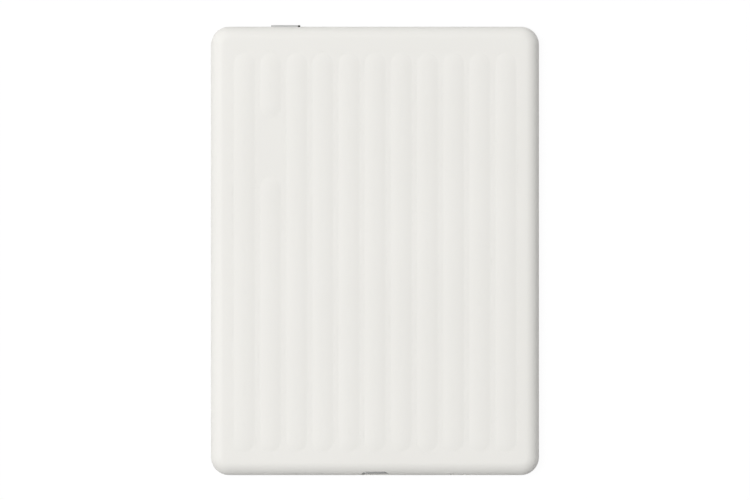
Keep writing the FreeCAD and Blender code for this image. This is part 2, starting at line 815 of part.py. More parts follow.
def screw(label, x, y, tip, seat, head, head_height):
    """A flat-headed screw with a cross slot in its head."""
    shank = doc.addObject("Part::Cylinder", label + "_shank")
    bind(shank, Radius="screw_shank / 2", Height="%s - %s" % (seat, tip))
    bind(shank, Placement__Base__x=x, Placement__Base__y=y, Placement__Base__z=tip)
    cap = doc.addObject("Part::Cylinder", label + "_head")
    bind(cap, Radius="%s / 2" % head, Height=head_height)
    bind(cap, Placement__Base__x=x, Placement__Base__y=y, Placement__Base__z=seat)
    blank = doc.addObject("Part::Fuse", label + "_blank")
    blank.Base = shank
    blank.Tool = cap
    top = "(%s + %s)" % (seat, head_height)
    reach = "(%s / 2 - driver_slot)" % head
    slim = "driver_slot / 2"
    arms = []
    for across, along in ((reach, slim), (slim, reach)):
        sides = ["%s - %s" % (x, across), "%s + %s" % (x, across)]
        sides += ["%s - %s" % (y, along), "%s + %s" % (y, along)]
        arms.append(box(label + "_slot", *sides, "%s - driver_depth" % top, "%s + driver_depth" % top))
    cross = doc.addObject("Part::Fuse", label + "_cross")
    cross.Base, cross.Tool = arms
    finished = doc.addObject("Part::Cut", label)
    finished.Base = blank
    finished.Tool = cross
    return finished


# ---- display ----


def display_sheets():
    half = "display_width / 2"
    corner = "display_corner"
    sides = ("-" + half, half, DISPLAY_LOW, DISPLAY_HIGH, corner)
    plate("touch_film", *sides, TOUCH, "touch_thickness")
    plate("glass_backplane", *sides, GLASS, "glass_thickness")
    low = "%s + guide_setback" % DISPLAY_LOW
    plate("light_guide", "-" + half, half, low, DISPLAY_HIGH, corner, GUIDE, "guide_thickness")
    inner = "(display_width / 2 - ink_border)"
    low = "%s + ink_setback" % DISPLAY_LOW
    plate("ink_film", "-" + inner, inner, low, "%s - ink_border" % DISPLAY_HIGH, corner, INK, "ink_thickness")
    inner = "(display_width / 2 - adhesive_border)"
    low = "%s + adhesive_border" % DISPLAY_LOW
    high = "%s - adhesive_border" % DISPLAY_HIGH
    plate("display_adhesive", "-" + inner, inner, low, high, corner, ADHESIVE, "adhesive_thickness")


def display_gasket():
    half = "(display_width / 2 - gasket_margin)"
    low = "%s + gasket_margin" % DISPLAY_LOW
    high = "%s - gasket_margin" % DISPLAY_HIGH
    body = plate(
        "display_gasket", "-" + half, half, low, high, "display_corner", "bezel_lip", "gasket_thickness"
    )
    window = sketch_on(body, "XY", TOUCH)
    half = "(window_width / 2 + gasket_margin)"
    low = "(%s + window_offset - gasket_margin)" % DISPLAY_LOW
    high = "%s + window_length + 2 * gasket_margin" % low
    rounded(window, "-" + half, half, low, high, "window_round")
    cut(body, window, "gasket_thickness")


STRIP = "(%s + led_height + strip_thickness / 2)" % GUIDE
LED_HIGH = "(%s + guide_setback - led_gap)" % DISPLAY_LOW


def front_light():
    half = "(led_pitch * led_count / 2)"
    low = "%s + strip_setback" % DISPLAY_LOW
    block(
        "frontlight_strip", "-" + half, half, low, LED_HIGH, "%s + led_height" % GUIDE,
        "%s + led_height + strip_thickness" % GUIDE,
    )
    lamps = []
    for number in range(int(value("led_count"))):
        x = "(led_pitch * (%d - (led_count - 1) / 2))" % number
        lamps.append(
            box(
                "frontlight_led_%d" % (number + 1),
                "%s - led_width / 2" % x,
                "%s + led_width / 2" % x,
                "%s - led_depth" % LED_HIGH,
                LED_HIGH,
                GUIDE,
                "%s + led_height" % GUIDE,
            )
        )
    group("frontlight_leds", lamps)


def folded_flex(label, x, width, level, start):
    """A circuit that leaves the display's lower edge, folds round and runs on to the board's back."""
    body = body_named(label)
    sketch = sketch_on(body, "YZ", "%s - %s / 2" % (x, width))
    upper = "(%s + flex_lift)" % BOARD_BACK
    bend = "(%s - flex_bend_gap)" % DISPLAY_LOW
    middle = "((%s + %s) / 2)" % (level, upper)
    radius = "((%s - %s) / 2)" % (upper, level)
    thin = "flex_thickness / 2"
    outer = "%s + %s" % (radius, thin)
    inner = "%s - %s" % (radius, thin)
    ends = []
    for text in (outer, inner):
        y, z, r = value(bend), value(middle), value(text)
        whole = Part.Circle(FreeCAD.Vector(y, z, 0), FreeCAD.Vector(0, 0, 1), r)
        index = sketch.addGeometry(Part.ArcOfCircle(whole, math.pi / 2, 3 * math.pi / 2))
        pin_point(sketch, index, 3, bend, middle)
        measure(sketch, text, "Radius", index)
        ends.append(r)
    y, z = value(bend), value(middle)
    stop, go = value(CONNECTOR_FACE), value(start)
    point = FreeCAD.Vector
    runs = (
        (point(y, z + ends[0], 0), point(stop, z + ends[0], 0)),
        (point(stop, z + ends[0], 0), point(stop, z + ends[1], 0)),
        (point(stop, z + ends[1], 0), point(y, z + ends[1], 0)),
        (point(y, z - ends[1], 0), point(go, z - ends[1], 0)),
        (point(go, z - ends[1], 0), point(go, z - ends[0], 0)),
        (point(go, z - ends[0], 0), point(y, z - ends[0], 0)),
    )
    for run in runs:
        sketch.addGeometry(Part.LineSegment(*run))
    for first, first_end, second, second_end in (
        (0, 1, 2, 1), (4, 2, 1, 1), (1, 2, 5, 1), (7, 2, 0, 2),
    ):
        sketch.addConstraint(Sketcher.Constraint("Tangent", first, first_end, second, second_end))
    for line, following in ((2, 3), (3, 4), (5, 6), (6, 7)):
        sketch.addConstraint(Sketcher.Constraint("Coincident", line, 2, following, 1))
    for line in (2, 4, 5, 7):
        sketch.addConstraint(Sketcher.Constraint("Horizontal", line))
    for line in (3, 6):
        sketch.addConstraint(Sketcher.Constraint("Vertical", line))
    measure(sketch, CONNECTOR_FACE, "DistanceX", -1, 1, 3, 1)
    measure(sketch, start, "DistanceX", -1, 1, 6, 1)
    pad(body, sketch, width)


def display_flexes():
    level = "(%s - flex_thickness / 2)" % GLASS
    start = "%s + flex_bond" % DISPLAY_LOW
    folded_flex("display_flex", "display_flex_x", "display_flex_width", level, start)
    start = "%s + strip_setback" % DISPLAY_LOW
    folded_flex("frontlight_flex", "light_flex_x", "light_flex_width", STRIP, start)
    level = "(%s + flex_thickness / 2)" % GUIDE
    start = "%s + touch_flex_bond" % DISPLAY_LOW
    folded_flex("touch_flex", "touch_flex_x", "touch_flex_width", level, start)


# ---- main board ----


def main_board():
    half = "board_width / 2"
    body = plate(
        "main_board", "-" + half, half, BOARD_LOW, BOARD_HIGH, "board_corner", BOARD, "board_thickness"
    )
    openings = sketch_on(body, "XY", BOARD_BACK)
    low = "-" + CAVITY_Y
    notch_flexes(openings, low)
    half = "(port_width / 2 + port_wall)"
    rectangle(openings, "-" + half, half, low, "%s + port_back" % PORT_END)
    half = "(reset_width / 2 + skirt_gap)"
    high = "%s + reset_depth" % RESET_FACE
    rectangle(openings, "reset_x - " + half, "reset_x + " + half, low, high)
    rectangle(openings, "sound_x - (sound_width / 2 + skirt_gap)", "reset_x - " + half, low, SOUND_FACE)
    for x, y in board_screw_places():
        circle(openings, x, y, "screw_shank + 2 * port_play")
    cut(body, openings, "board_thickness")


def chips():
    can_top = "(%s - can_play)" % BACK_INSIDE
    pad_level = "(%s - can_wall - pad_thickness)" % can_top
    parts.append(chip("processor", "processor", top=pad_level))
    y = "(%s + processor_y)" % BOARD_LOW
    sides = ["processor_x - pad_side / 2", "processor_x + pad_side / 2"]
    sides += ["%s - pad_side / 2" % y, "%s + pad_side / 2" % y]
    block("thermal_pad", *sides, pad_level, "%s + pad_thickness" % pad_level)
    group("memory_chips", [chip("memory_chip", "memory_a"), chip("memory_chip", "memory_b")])
    names = ("power_a", "power_b", "power_c")
    group("power_chips", [chip("power_chip", name) for name in names])
    names = ("coil_a", "coil_b", "coil_c", "coil_d")
    group("inductors", [chip("inductor", name) for name in names])
    parts.append(chip("wifi_module", "radio"))
    shield_can(can_top)


def shield_can(can_top):
    """A drawn steel lid over the processor and its memory, open towards the board."""
    body = body_named("shield_can")
    y = "(%s + can_y)" % BOARD_LOW
    lid = sketch_on(body, "XY", BOARD_BACK)
    sides = ["can_x - can_wide / 2", "can_x + can_wide / 2", "%s - can_long / 2" % y, "%s + can_long / 2" % y]
    rounded(lid, *sides, "can_corner")
    pad(body, lid, "%s - %s" % (can_top, BOARD_BACK))
    hollow = sketch_on(body, "XY", BOARD_BACK)
    sides = [side + (" + can_wall" if i % 2 == 0 else " - can_wall") for i, side in enumerate(sides)]
    rounded(hollow, *sides, "can_corner - can_wall")
    cut(body, hollow, "%s - %s - can_wall" % (can_top, BOARD_BACK), forwards=True)
    sheet_sides = [side + (" + " if i % 2 == 0 else " - ") + "graphite_inset" for i, side in enumerate(sides)]
    block("graphite_sheet", *sheet_sides, can_top, "%s + graphite_thickness" % can_top)


def capacitors():
    """One row of small parts beside each power chip."""
    pieces = []
    rows = (("power_a", 1), ("power_c", 1), ("power_b", -1))
    for name, side in rows:
        y = "(%s + %s_y + %d * (%s_long / 2 + capacitor_pitch))" % (BOARD_LOW, name, side, name)
        for number in range(int(value("capacitor_row"))):
            x = "(%s_x + capacitor_spacing * (%d - (capacitor_row - 1) / 2))" % (name, number)
            pieces.append(
                box(
                    "capacitor",
                    "%s - capacitor_width / 2" % x,
                    "%s + capacitor_width / 2" % x,
                    "%s - capacitor_length / 2" % y,
                    "%s + capacitor_length / 2" % y,
                    BOARD_BACK,
                    "%s + capacitor_height" % BOARD_BACK,
                )
            )
    group("capacitors", pieces)


def connectors():
    """Sockets for the three display circuits and for the key circuit."""
    pieces = []
    top = "%s + connector_height" % BOARD_BACK
    for x, width in FLEX_NOTCHES:
        half = "(%s / 2 + connector_margin)" % width
        high = "%s + connector_length" % CONNECTOR_FACE
        sides = ["%s - %s" % (x, half), "%s + %s" % (x, half), CONNECTOR_FACE, high]
        pieces.append(box("flex_connector", *sides, BOARD_BACK, top))
    half = "(key_flex_width / 2 + connector_margin)"
    face = "(%s - key_flex_ramp)" % BOARD_HIGH
    sides = ["key_flex_x - " + half, "key_flex_x + " + half, "%s - connector_length" % face, face]
    pieces.append(box("flex_connector", *sides, BOARD_BACK, top))
    group("flex_connectors", pieces)


def antenna():
    low = "(%s - antenna_under)" % BOARD_HIGH
    sides = ["antenna_x - antenna_width / 2", "antenna_x + antenna_width / 2"]
    top = "%s + film_thickness" % FRAME_BACK
    block("wifi_antenna", *sides, low, "%s + antenna_length" % low, FRAME_BACK, top)
    y = "(%s + antenna_under / 2)" % low
    sides = ["antenna_x - spring_width / 2", "antenna_x + spring_width / 2"]
    sides += ["%s - spring_length / 2" % y, "%s + spring_length / 2" % y]
    block("antenna_spring", *sides, top, BOARD)


def insulating_film():
    body = body_named("insulating_film")
    sketch = sketch_on(body, "XY", FRAME_BACK)
    half = "(board_width / 2 - board_screw_inset - standoff_diameter)"
    low = "%s + board_screw_port + standoff_diameter" % BOARD_LOW
    high = "%s - antenna_under - film_thickness" % BOARD_HIGH
    rectangle(sketch, "-" + half, half, low, high)
    pad(body, sketch, "film_thickness")


# ---- port, microphone and reset switch ----


def usb_port():
    body = body_named("usb_shell")
    tube = sketch_on(body, "XZ", PORT_MOUTH)
    stadium(tube, "0", "port_level", "port_width", "port_height")
    pad(body, tube, "port_depth", backwards=True)
    ears = sketch_on(body, "XY", BOARD_BACK)
    inner = "(port_width / 2 - port_ear_root)"
    outer = "(port_width / 2 + port_ear)"
    for end in ("port_ear_front", "port_ear_rear"):
        y = "(%s + %s)" % (PORT_MOUTH, end)
        rectangle(ears, inner, outer, "%s - port_wall" % y, "%s + port_wall" % y)
        rectangle(ears, "-" + outer, "-" + inner, "%s - port_wall" % y, "%s + port_wall" % y)
    pad(body, ears, "port_ear_thickness")
    hollow = sketch_on(body, "XZ", PORT_MOUTH)
    stadium(hollow, "0", "port_level", "(port_width - 2 * port_wall)", "(port_height - 2 * port_wall)")
    cut(body, hollow, "port_depth - port_back")

    tongue = body_named("usb_tongue")
    blade = sketch_on(tongue, "XZ", "%s + tongue_recess" % PORT_MOUTH)
    half = "tongue_width / 2"
    thick = "tongue_height / 2"
    rectangle(blade, "-" + half, half, "port_level - " + thick, "port_level + " + thick)
    pad(tongue, blade, "port_depth - port_back - tongue_recess", backwards=True)
    base = sketch_on(tongue, "XZ", "%s - port_back" % PORT_END)
    half = "(port_width / 2 - port_height / 2)"
    thick = "(port_height / 2 - port_wall)"
    rectangle(base, "-" + half, half, "port_level - " + thick, "port_level + " + thick)
    pad(tongue, base, "tongue_base")

    strips = []
    low = "(%s + tongue_recess + port_wall)" % PORT_MOUTH
    for number in range(int(value("contact_count"))):
        x = "(contact_pitch * (%d - (contact_count - 1) / 2))" % number
        sides = ["%s - contact_width / 2" % x, "%s + contact_width / 2" % x, low, "%s + contact_length" % low]
        upper = "(port_level + tongue_height / 2)"
        lower = "(port_level - tongue_height / 2)"
        strips.append(box("usb_contact", *sides, upper, upper + " + contact_thickness"))
        strips.append(box("usb_contact", *sides, lower + " - contact_thickness", lower))
    group("usb_contacts", strips)


def switch_with_plunger(name, x, level, face, outward, width, depth, height, stem):
    """A side-pressed switch: a body with a blind bore, and the plunger that slides in it."""
    stem_width, stem_height, proud = stem
    body = body_named(name + "_switch_body")
    front = sketch_on(body, "XZ", face)
    half, thick = "(%s / 2)" % width, "(%s / 2)" % height
    left, right = "%s - %s" % (x, half), "%s + %s" % (x, half)
    rectangle(front, left, right, level + " - " + thick, level + " + " + thick)
    pad(body, front, depth, backwards=outward < 0)
    if name == "reset":
        shelf = sketch_on(body, "XY", BOARD_BACK)
        low = "%s + %s" % (face, depth)
        rectangle(shelf, left, right, low, low + " + reset_shelf")
        pad(body, shelf, "%s + %s - %s" % (level, thick, BOARD_BACK))
    bore = sketch_on(body, "XZ", face)
    wide = "(%s / 2 + plunger_play)" % stem_width
    high = "(%s / 2 + plunger_play)" % stem_height
    sides = ["%s - %s" % (x, wide), "%s + %s" % (x, wide), level + " - " + high, level + " + " + high]
    rectangle(bore, *sides)
    cut(body, bore, depth + " - switch_floor", forwards=outward > 0)

    wide = "(%s / 2)" % stem_width
    high = "(%s / 2)" % stem_height
    tip = "%s + %d * %s" % (face, outward, proud)
    root = "%s - %d * plunger_inside" % (face, outward)
    low, far = (root, tip) if outward > 0 else (tip, root)
    sides = ["%s - %s" % (x, wide), "%s + %s" % (x, wide), low, far]
    block(name + "_switch_plunger", *sides, level + " - " + high, level + " + " + high)


def bottom_edge_parts():
    switch_with_plunger(
        "reset", "reset_x", "port_level", RESET_FACE, -1, "reset_width", "reset_depth", "reset_height",
        ("reset_plunger_width", "reset_plunger_height", "reset_plunger_proud"),
    )
    half = "(sound_width / 2)"
    sides = ["sound_x - " + half, "sound_x + " + half, SOUND_FACE, "%s + sound_length" % SOUND_FACE]
    block("microphone", *sides, BOARD_BACK, "%s + sound_height" % BOARD_BACK)
    boot = body_named("microphone_boot")
    face = sketch_on(boot, "XZ", SOUND_FACE)
    low = "(%s + film_thickness / 2)" % FRAME_BACK
    top = "(%s + boot_top)" % BOARD_BACK
    rectangle(face, "sound_x - " + half, "sound_x + " + half, low, top)
    pad(boot, face, "boot_depth")
    slot = sketch_on(boot, "XZ", SOUND_FACE)
    wide = "(boot_slot / 2)"
    rectangle(slot, "sound_x - " + wide, "sound_x + " + wide, low + " + boot_wall", top + " - boot_wall")
    cut(boot, slot, "2 * boot_depth", forwards=True)
    mesh = body_named("microphone_mesh")
    disc = sketch_on(mesh, "XZ", "%s - boot_depth" % SOUND_FACE)
    circle(disc, "sound_x", "port_level + boot_wall", "mesh_diameter")
    pad(mesh, disc, "mesh_thickness")


# ---- power button ----


def power_key():
    body = body_named("power_button")
    cap = sketch_on(body, "XZ", FLANGE_FACE)
    half, thick = "(button_width / 2)", "(button_height / 2)"
    sides = ["button_x - " + half, "button_x + " + half, "button_level - " + thick, "button_level + " + thick]
    rounded(cap, *sides, "button_round")
    pad(body, cap, "body_length / 2 + button_proud - %s" % FLANGE_FACE, backwards=True)
    tip = value("body_length / 2 + button_proud")
    round_edges(body, "button_edge", lambda p: abs(p.y - tip) < 0.01)
    flange = sketch_on(body, "XZ", FLANGE_FACE)
    half, thick = "(button_width / 2 + button_flange_margin)", "(button_flange_height / 2)"
    sides = ["button_x - " + half, "button_x + " + half]
    sides += ["button_level - " + thick, "button_level + " + thick]
    rectangle(flange, *sides)
    pad(body, flange, "button_flange")
    post = sketch_on(body, "XZ", POST_TOP)
    half, thick = "(button_post_width / 2)", "(key_plunger_height / 2)"
    sides = ["button_x - " + half, "button_x + " + half]
    sides += ["button_level - " + thick, "button_level + " + thick]
    rectangle(post, *sides)
    pad(body, post, "button_post")

    switch_with_plunger(
        "power", "button_x", "button_level", KEY_FACE, 1, "key_width", "key_depth", "key_height",
        ("key_plunger_width", "key_plunger_height", "key_plunger_proud"),
    )
    half = "(stiffener_width / 2)"
    low = "button_level - key_height / 2"
    sides = ["button_x - " + half, "button_x + " + half, TAB_FACE, STIFFENER_FACE]
    block("key_stiffener", *sides, low, FRAME_BACK)
    key_flex()


def key_flex():
    """A thin circuit: a leaf behind the switch, a run over the frame and a ramp up to the board."""
    body = body_named("key_flex")
    top = "(%s + flex_thickness)" % FRAME_BACK
    leaf = sketch_on(body, "XZ", KEY_BACK)
    half = "(stiffener_width / 2)"
    rectangle(leaf, "button_x - " + half, "button_x + " + half, "button_level - key_height / 2", top)
    pad(body, leaf, "flex_thickness")
    cross = sketch_on(body, "XY", FRAME_BACK)
    left = "(key_flex_x - key_flex_width / 2)"
    right = "(key_flex_x + key_flex_width / 2)"
    below = "(%s - key_flex_width)" % TAB_FACE
    end = "(%s + 2 * key_flex_ramp)" % BOARD_HIGH
    polygon(
        cross,
        [
            (left, end),
            (right, end),
            (right, below),
            ("button_x + " + half, below),
            ("button_x + " + half, KEY_BACK),
            (left, KEY_BACK),
        ],
    )
    pad(body, cross, "flex_thickness")
    ramp = sketch_on(body, "YZ", left)
    face = "(%s - key_flex_ramp)" % BOARD_HIGH
    lift = "(%s + flex_lift)" % BOARD_BACK
    crest = "(%s + flex_thickness)" % BOARD_HIGH
    polygon(
        ramp,
        [
            (end, FRAME_BACK),
            (end, top),
            (crest, "%s + flex_thickness" % lift),
            (face, "%s + flex_thickness" % lift),
            (face, lift),
            (crest, lift),
        ],
    )
    pad(body, ramp, "key_flex_width")


# ---- battery ----


def battery():
    half = "(cell_width / 2)"
    high = "(%s + cell_length)" % CELL_LOW
    thickness = "%s - %s" % (CELL_BACK, CELL)
    body = plate("battery_cell", "-" + half, half, CELL_LOW, high, "cell_round", CELL, thickness)
    round_edges(body, "cell_edge", lambda p: abs(p.z - value(CELL_BACK)) < 0.01)
    inner = "(cell_width / 2 - tape_border)"
    sides = ["-" + inner, inner, "%s + tape_border" % CELL_LOW, "%s - tape_border" % high]
    block("battery_tape", *sides, FRAME_BACK, CELL)
    pads = []
    for y in ("%s + tape_border" % CELL_LOW, "%s - tape_border - foam_width" % high):
        for left in ("-" + inner, "%s - foam_width" % inner):
            sides = [left, left + " + foam_width", y, y + " + foam_width"]
            pads.append(box("foam_pad", *sides, CELL_BACK, BACK_INSIDE))
    group("foam_pads", pads)
    half = "(cell_board_width / 2)"
    low = "(%s - cell_board_length)" % CELL_LOW
    sides = ["cell_board_x - " + half, "cell_board_x + " + half, low, CELL_LOW]
    block("battery_board", *sides, CELL, "%s + cell_board_height" % CELL)

    # two wires from the cell's own board to its plug, side by side
    plug_face = "(%s - lead_drop)" % BOARD_HIGH
    level = "(%s + plug_height / 2)" % BOARD_BACK
    wires = []
    for side in (-1, 1):
        wire = doc.addObject("Part::Cylinder", "battery_wire")
        wire.Placement = FreeCAD.Placement(
            FreeCAD.Vector(), FreeCAD.Rotation(FreeCAD.Vector(1, 0, 0), -90)
        )
        bind(wire, Radius="lead_diameter / 2", Height="%s - %s" % (low, plug_face))
        x = "lead_x + %d * lead_pitch / 2" % side
        bind(wire, Placement__Base__x=x, Placement__Base__y=plug_face, Placement__Base__z=level)
        wires.append(wire)
    group("battery_lead", wires)
    half = "(plug_width / 2)"
    sides = ["lead_x - " + half, "lead_x + " + half, "%s - plug_length" % plug_face, plug_face]
    block("battery_connector", *sides, BOARD_BACK, "%s + plug_height" % BOARD_BACK)


rear_cover()
front_bezel()
mid_frame()
frame_screws()
board_screws()
display_gasket()
display_sheets()
front_light()
display_flexes()
main_board()
chips()
capacitors()
connectors()
antenna()
insulating_film()
usb_port()
bottom_edge_parts()
power_key()
battery()
doc.recompute()

for thing in doc.Objects:
    if "Invalid" in thing.State or "Error" in thing.State:
        raise ValueError("%s failed: %s" % (thing.Label, thing.State))
for part in parts:
    if part.Shape.isNull() or not part.Shape.isValid() or not part.Shape.Solids:
        raise ValueError("%s has no sound shape" % part.Label)

os.makedirs("parts", exist_ok=True)
for part in parts:
    part.Shape.exportStep("parts/%s.step" % part.Label)
    print("%-24s %2d solids %10.3f mm3" % (part.Label, len(part.Shape.Solids), part.Shape.Volume))
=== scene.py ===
import bmesh
import bpy
import math
from mathutils import Matrix, Vector


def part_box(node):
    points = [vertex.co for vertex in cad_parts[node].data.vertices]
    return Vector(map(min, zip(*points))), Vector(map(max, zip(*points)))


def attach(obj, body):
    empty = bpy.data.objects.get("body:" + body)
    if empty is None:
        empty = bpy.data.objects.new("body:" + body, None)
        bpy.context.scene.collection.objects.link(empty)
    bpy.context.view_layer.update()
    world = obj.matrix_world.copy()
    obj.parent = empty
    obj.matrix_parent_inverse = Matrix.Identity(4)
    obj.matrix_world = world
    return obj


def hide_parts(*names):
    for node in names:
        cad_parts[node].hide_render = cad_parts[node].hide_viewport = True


# ---- Studio ----
# The reader lies face down on a pale table under one broad soft light from the upper left.
# The camera hangs straight above it, with the edge that carries the power key at the top.

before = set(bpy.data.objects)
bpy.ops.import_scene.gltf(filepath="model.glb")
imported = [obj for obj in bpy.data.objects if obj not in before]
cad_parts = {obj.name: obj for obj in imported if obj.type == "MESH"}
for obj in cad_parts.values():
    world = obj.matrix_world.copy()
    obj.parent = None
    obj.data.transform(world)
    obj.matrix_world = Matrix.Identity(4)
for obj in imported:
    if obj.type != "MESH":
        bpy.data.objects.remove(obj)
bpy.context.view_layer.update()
scene = bpy.context.scene
scene.view_settings.view_transform = "Standard"

MM = 0.001
lens = 200.0
sensor = 36.0
view_width = 0.24695
aim_shift = 0.0003
aim_height = 0.002
lens_data = bpy.data.cameras.new("camera")
lens_data.lens = lens
lens_data.sensor_width = sensor
lens_data.clip_end = 20.0
camera = bpy.data.objects.new("camera", lens_data)
camera.location = (0.0, aim_shift, aim_height + view_width * lens / sensor)
scene.collection.objects.link(camera)
scene.camera = camera


def nodes_of(tree, *kinds):
    """New nodes of these kinds, in order."""
    return [tree.nodes.new("ShaderNode" + kind) for kind in kinds]


def join(tree, *pairs):
    """Link each output to its input."""
    for source, target in pairs:
        tree.links.new(source, target)


def seen_directly(tree):
    """One where the ray comes straight from the camera, or through a gloss or glass bounce."""
    path, gloss, glass = nodes_of(tree, "LightPath", "Math", "Math")
    gloss.operation = glass.operation = "MAXIMUM"
    join(
        tree,
        (path.outputs["Is Camera Ray"], gloss.inputs[0]),
        (path.outputs["Is Glossy Ray"], gloss.inputs[1]),
        (gloss.outputs[0], glass.inputs[0]),
        (path.outputs["Is Transmission Ray"], glass.inputs[1]),
    )
    return glass.outputs[0]


# the softbox hangs on the upper left, and the room adds a little more fill from the right
room_level = 0.454
room_slopes = (0.33, 0.2, -0.307)
world = bpy.data.worlds.new("room")
world.use_nodes = True
scene.world = world
tree = world.node_tree
tree.nodes.clear()
where, facing, level, glow, white, choose, out = nodes_of(
    tree, "TexCoord", "VectorMath", "Math", "Background", "Background", "MixShader", "OutputWorld"
)
facing.operation = "DOT_PRODUCT"
facing.inputs[1].default_value = room_slopes
level.operation = "ADD"
level.inputs[1].default_value = room_level
white.inputs["Color"].default_value = (1, 1, 1, 1)
white.inputs["Strength"].default_value = 1.0
join(
    tree,
    (where.outputs["Generated"], facing.inputs[0]),
    (facing.outputs["Value"], level.inputs[0]),
    (level.outputs[0], glow.inputs["Strength"]),
    (seen_directly(tree), choose.inputs[0]),
    (glow.outputs[0], choose.inputs[1]),
    (white.outputs[0], choose.inputs[2]),
    (choose.outputs[0], out.inputs["Surface"]),
)

softbox_size = 2.2
softbox_power = 159.0
softbox_place = Vector((-1.92, 0.45, 3.55))
softbox_data = bpy.data.lights.new("softbox", "AREA")
softbox_data.size = softbox_size
softbox_data.energy = softbox_power
softbox = bpy.data.objects.new("softbox", softbox_data)
softbox.location = softbox_place
softbox.rotation_euler = (-softbox_place).to_track_quat("-Z", "Y").to_euler()
scene.collection.objects.link(softbox)

table_half = 3.0
table_drop = 0.00005
table_tone = 0.7
table_glow = 1.03
table_glow_share = 0.93
shape = bmesh.new()
bmesh.ops.create_grid(shape, x_segments=2, y_segments=2, size=table_half)
bmesh.ops.translate(shape, verts=shape.verts, vec=(0, 0, -table_drop))
table_mesh = bpy.data.meshes.new("table")
shape.to_mesh(table_mesh)
shape.free()
table_top = bpy.data.objects.new("table", table_mesh)
scene.collection.objects.link(table_top)
paint = bpy.data.materials.new("table_white")
paint.use_nodes = True
tree = paint.node_tree
tree.nodes.clear()
matt, shine, share, choose, out = nodes_of(
    tree, "BsdfDiffuse", "Emission", "Math", "MixShader", "OutputMaterial"
)
matt.inputs["Color"].default_value = (table_tone, table_tone, table_tone, 1)
shine.inputs["Strength"].default_value = table_glow
share.operation = "MULTIPLY"
share.inputs[1].default_value = table_glow_share
join(
    tree,
    (seen_directly(tree), share.inputs[0]),
    (share.outputs[0], choose.inputs[0]),
    (matt.outputs[0], choose.inputs[1]),
    (shine.outputs[0], choose.inputs[2]),
    (choose.outputs[0], out.inputs["Surface"]),
)
table_mesh.materials.append(paint)

# ---- Front bezel ----
# A white moulded frame round the screen, with a thin skirt that stands up inside the back cover.
# Eight screw bosses stand along its sides; the cover's hooks snap into windows in the skirt.


def moulding_grain():
    """Fine spark texture of a moulding: a normal, and a slow mask for tone and gloss."""
    group = bpy.data.node_groups.new("moulding_grain", "ShaderNodeTree")
    face = group.interface
    for name, start in (("Grains per metre", 4000.0), ("Depth", 0.00001), ("Patches per metre", 30.0)):
        face.new_socket(name=name, in_out="INPUT", socket_type="NodeSocketFloat").default_value = start
    face.new_socket(name="Normal", in_out="OUTPUT", socket_type="NodeSocketVector")
    face.new_socket(name="Patches", in_out="OUTPUT", socket_type="NodeSocketFloat")
    given, given_back = group.nodes.new("NodeGroupInput"), group.nodes.new("NodeGroupOutput")
    where, fine, cells, both, bump, slow = nodes_of(
        group, "TexCoord", "TexNoise", "TexVoronoi", "Math", "Bump", "TexNoise"
    )
    fine.inputs["Detail"].default_value = 3.0
    both.operation = "MULTIPLY_ADD"
    both.inputs[1].default_value = 0.6
    slow.inputs["Detail"].default_value = 2.0
    bump.inputs["Strength"].default_value = 0.6
    join(
        group,
        (where.outputs["Object"], fine.inputs["Vector"]),
        (where.outputs["Object"], cells.inputs["Vector"]),
        (where.outputs["Object"], slow.inputs["Vector"]),
        (given.outputs["Grains per metre"], fine.inputs["Scale"]),
        (given.outputs["Grains per metre"], cells.inputs["Scale"]),
        (given.outputs["Patches per metre"], slow.inputs["Scale"]),
        (cells.outputs["Distance"], both.inputs[0]),
        (fine.outputs["Fac"], both.inputs[2]),
        (both.outputs[0], bump.inputs["Height"]),
        (given.outputs["Depth"], bump.inputs["Distance"]),
        (bump.outputs["Normal"], given_back.inputs["Normal"]),
        (slow.outputs["Fac"], given_back.inputs["Patches"]),
    )
    return group


GRAIN = moulding_grain()


def painted(name, light, dark, gloss, grains=3000.0, depth=0.00001, patches=30.0, **sockets):
    """A material that drifts between two tones and two roughnesses over its grain."""
    material = bpy.data.materials.new(name)
    material.use_nodes = True
    tree = material.node_tree
    shader = tree.nodes["Principled BSDF"]
    texture, tone, rough = nodes_of(tree, "Group", "Mix", "MapRange")
    texture.node_tree = GRAIN
    texture.inputs["Grains per metre"].default_value = grains
    texture.inputs["Depth"].default_value = depth
    texture.inputs["Patches per metre"].default_value = patches
    tone.data_type = "RGBA"
    tone.inputs[6].default_value = (*light, 1)
    tone.inputs[7].default_value = (*dark, 1)
    rough.inputs["To Min"].default_value = gloss[0]
    rough.inputs["To Max"].default_value = gloss[1]
    join(
        tree,
        (texture.outputs["Patches"], tone.inputs[0]),
        (texture.outputs["Patches"], rough.inputs["Value"]),
        (tone.outputs[2], shader.inputs["Base Color"]),
        (rough.outputs[0], shader.inputs["Roughness"]),
        (texture.outputs["Normal"], shader.inputs["Normal"]),
    )
    for socket, value in sockets.items():
        shader.inputs[socket.replace("_", " ")].default_value = value
    return material


shell_white = painted(
    "shell_white", (0.826, 0.815, 0.781), (0.808, 0.797, 0.762), (0.62, 0.72),
    grains=5200.0, depth=0.000006, patches=24.0,
)


def slab(half_x, half_y, corner, low, high, steps=20):
    """A block with round corners in plan, standing between two levels."""
    shape = bmesh.new()
    corners = [shape.verts.new((x, y, low)) for x, y in ((-1, -1), (1, -1), (1, 1), (-1, 1))]
    shape.faces.new(corners)
    bmesh.ops.scale(shape, verts=shape.verts, vec=(half_x, half_y, 1))
    bmesh.ops.bevel(
        shape, geom=shape.verts[:], affect="VERTICES", offset=corner, segments=steps, profile=0.5, material=-1
    )
    raised = bmesh.ops.extrude_face_region(shape, geom=shape.faces[:])["geom"]
    moved = [v for v in raised if isinstance(v, bmesh.types.BMVert)]
    bmesh.ops.translate(shape, verts=moved, vec=(0, 0, high - low))
    bmesh.ops.recalc_face_normals(shape, faces=shape.faces)
    return shape


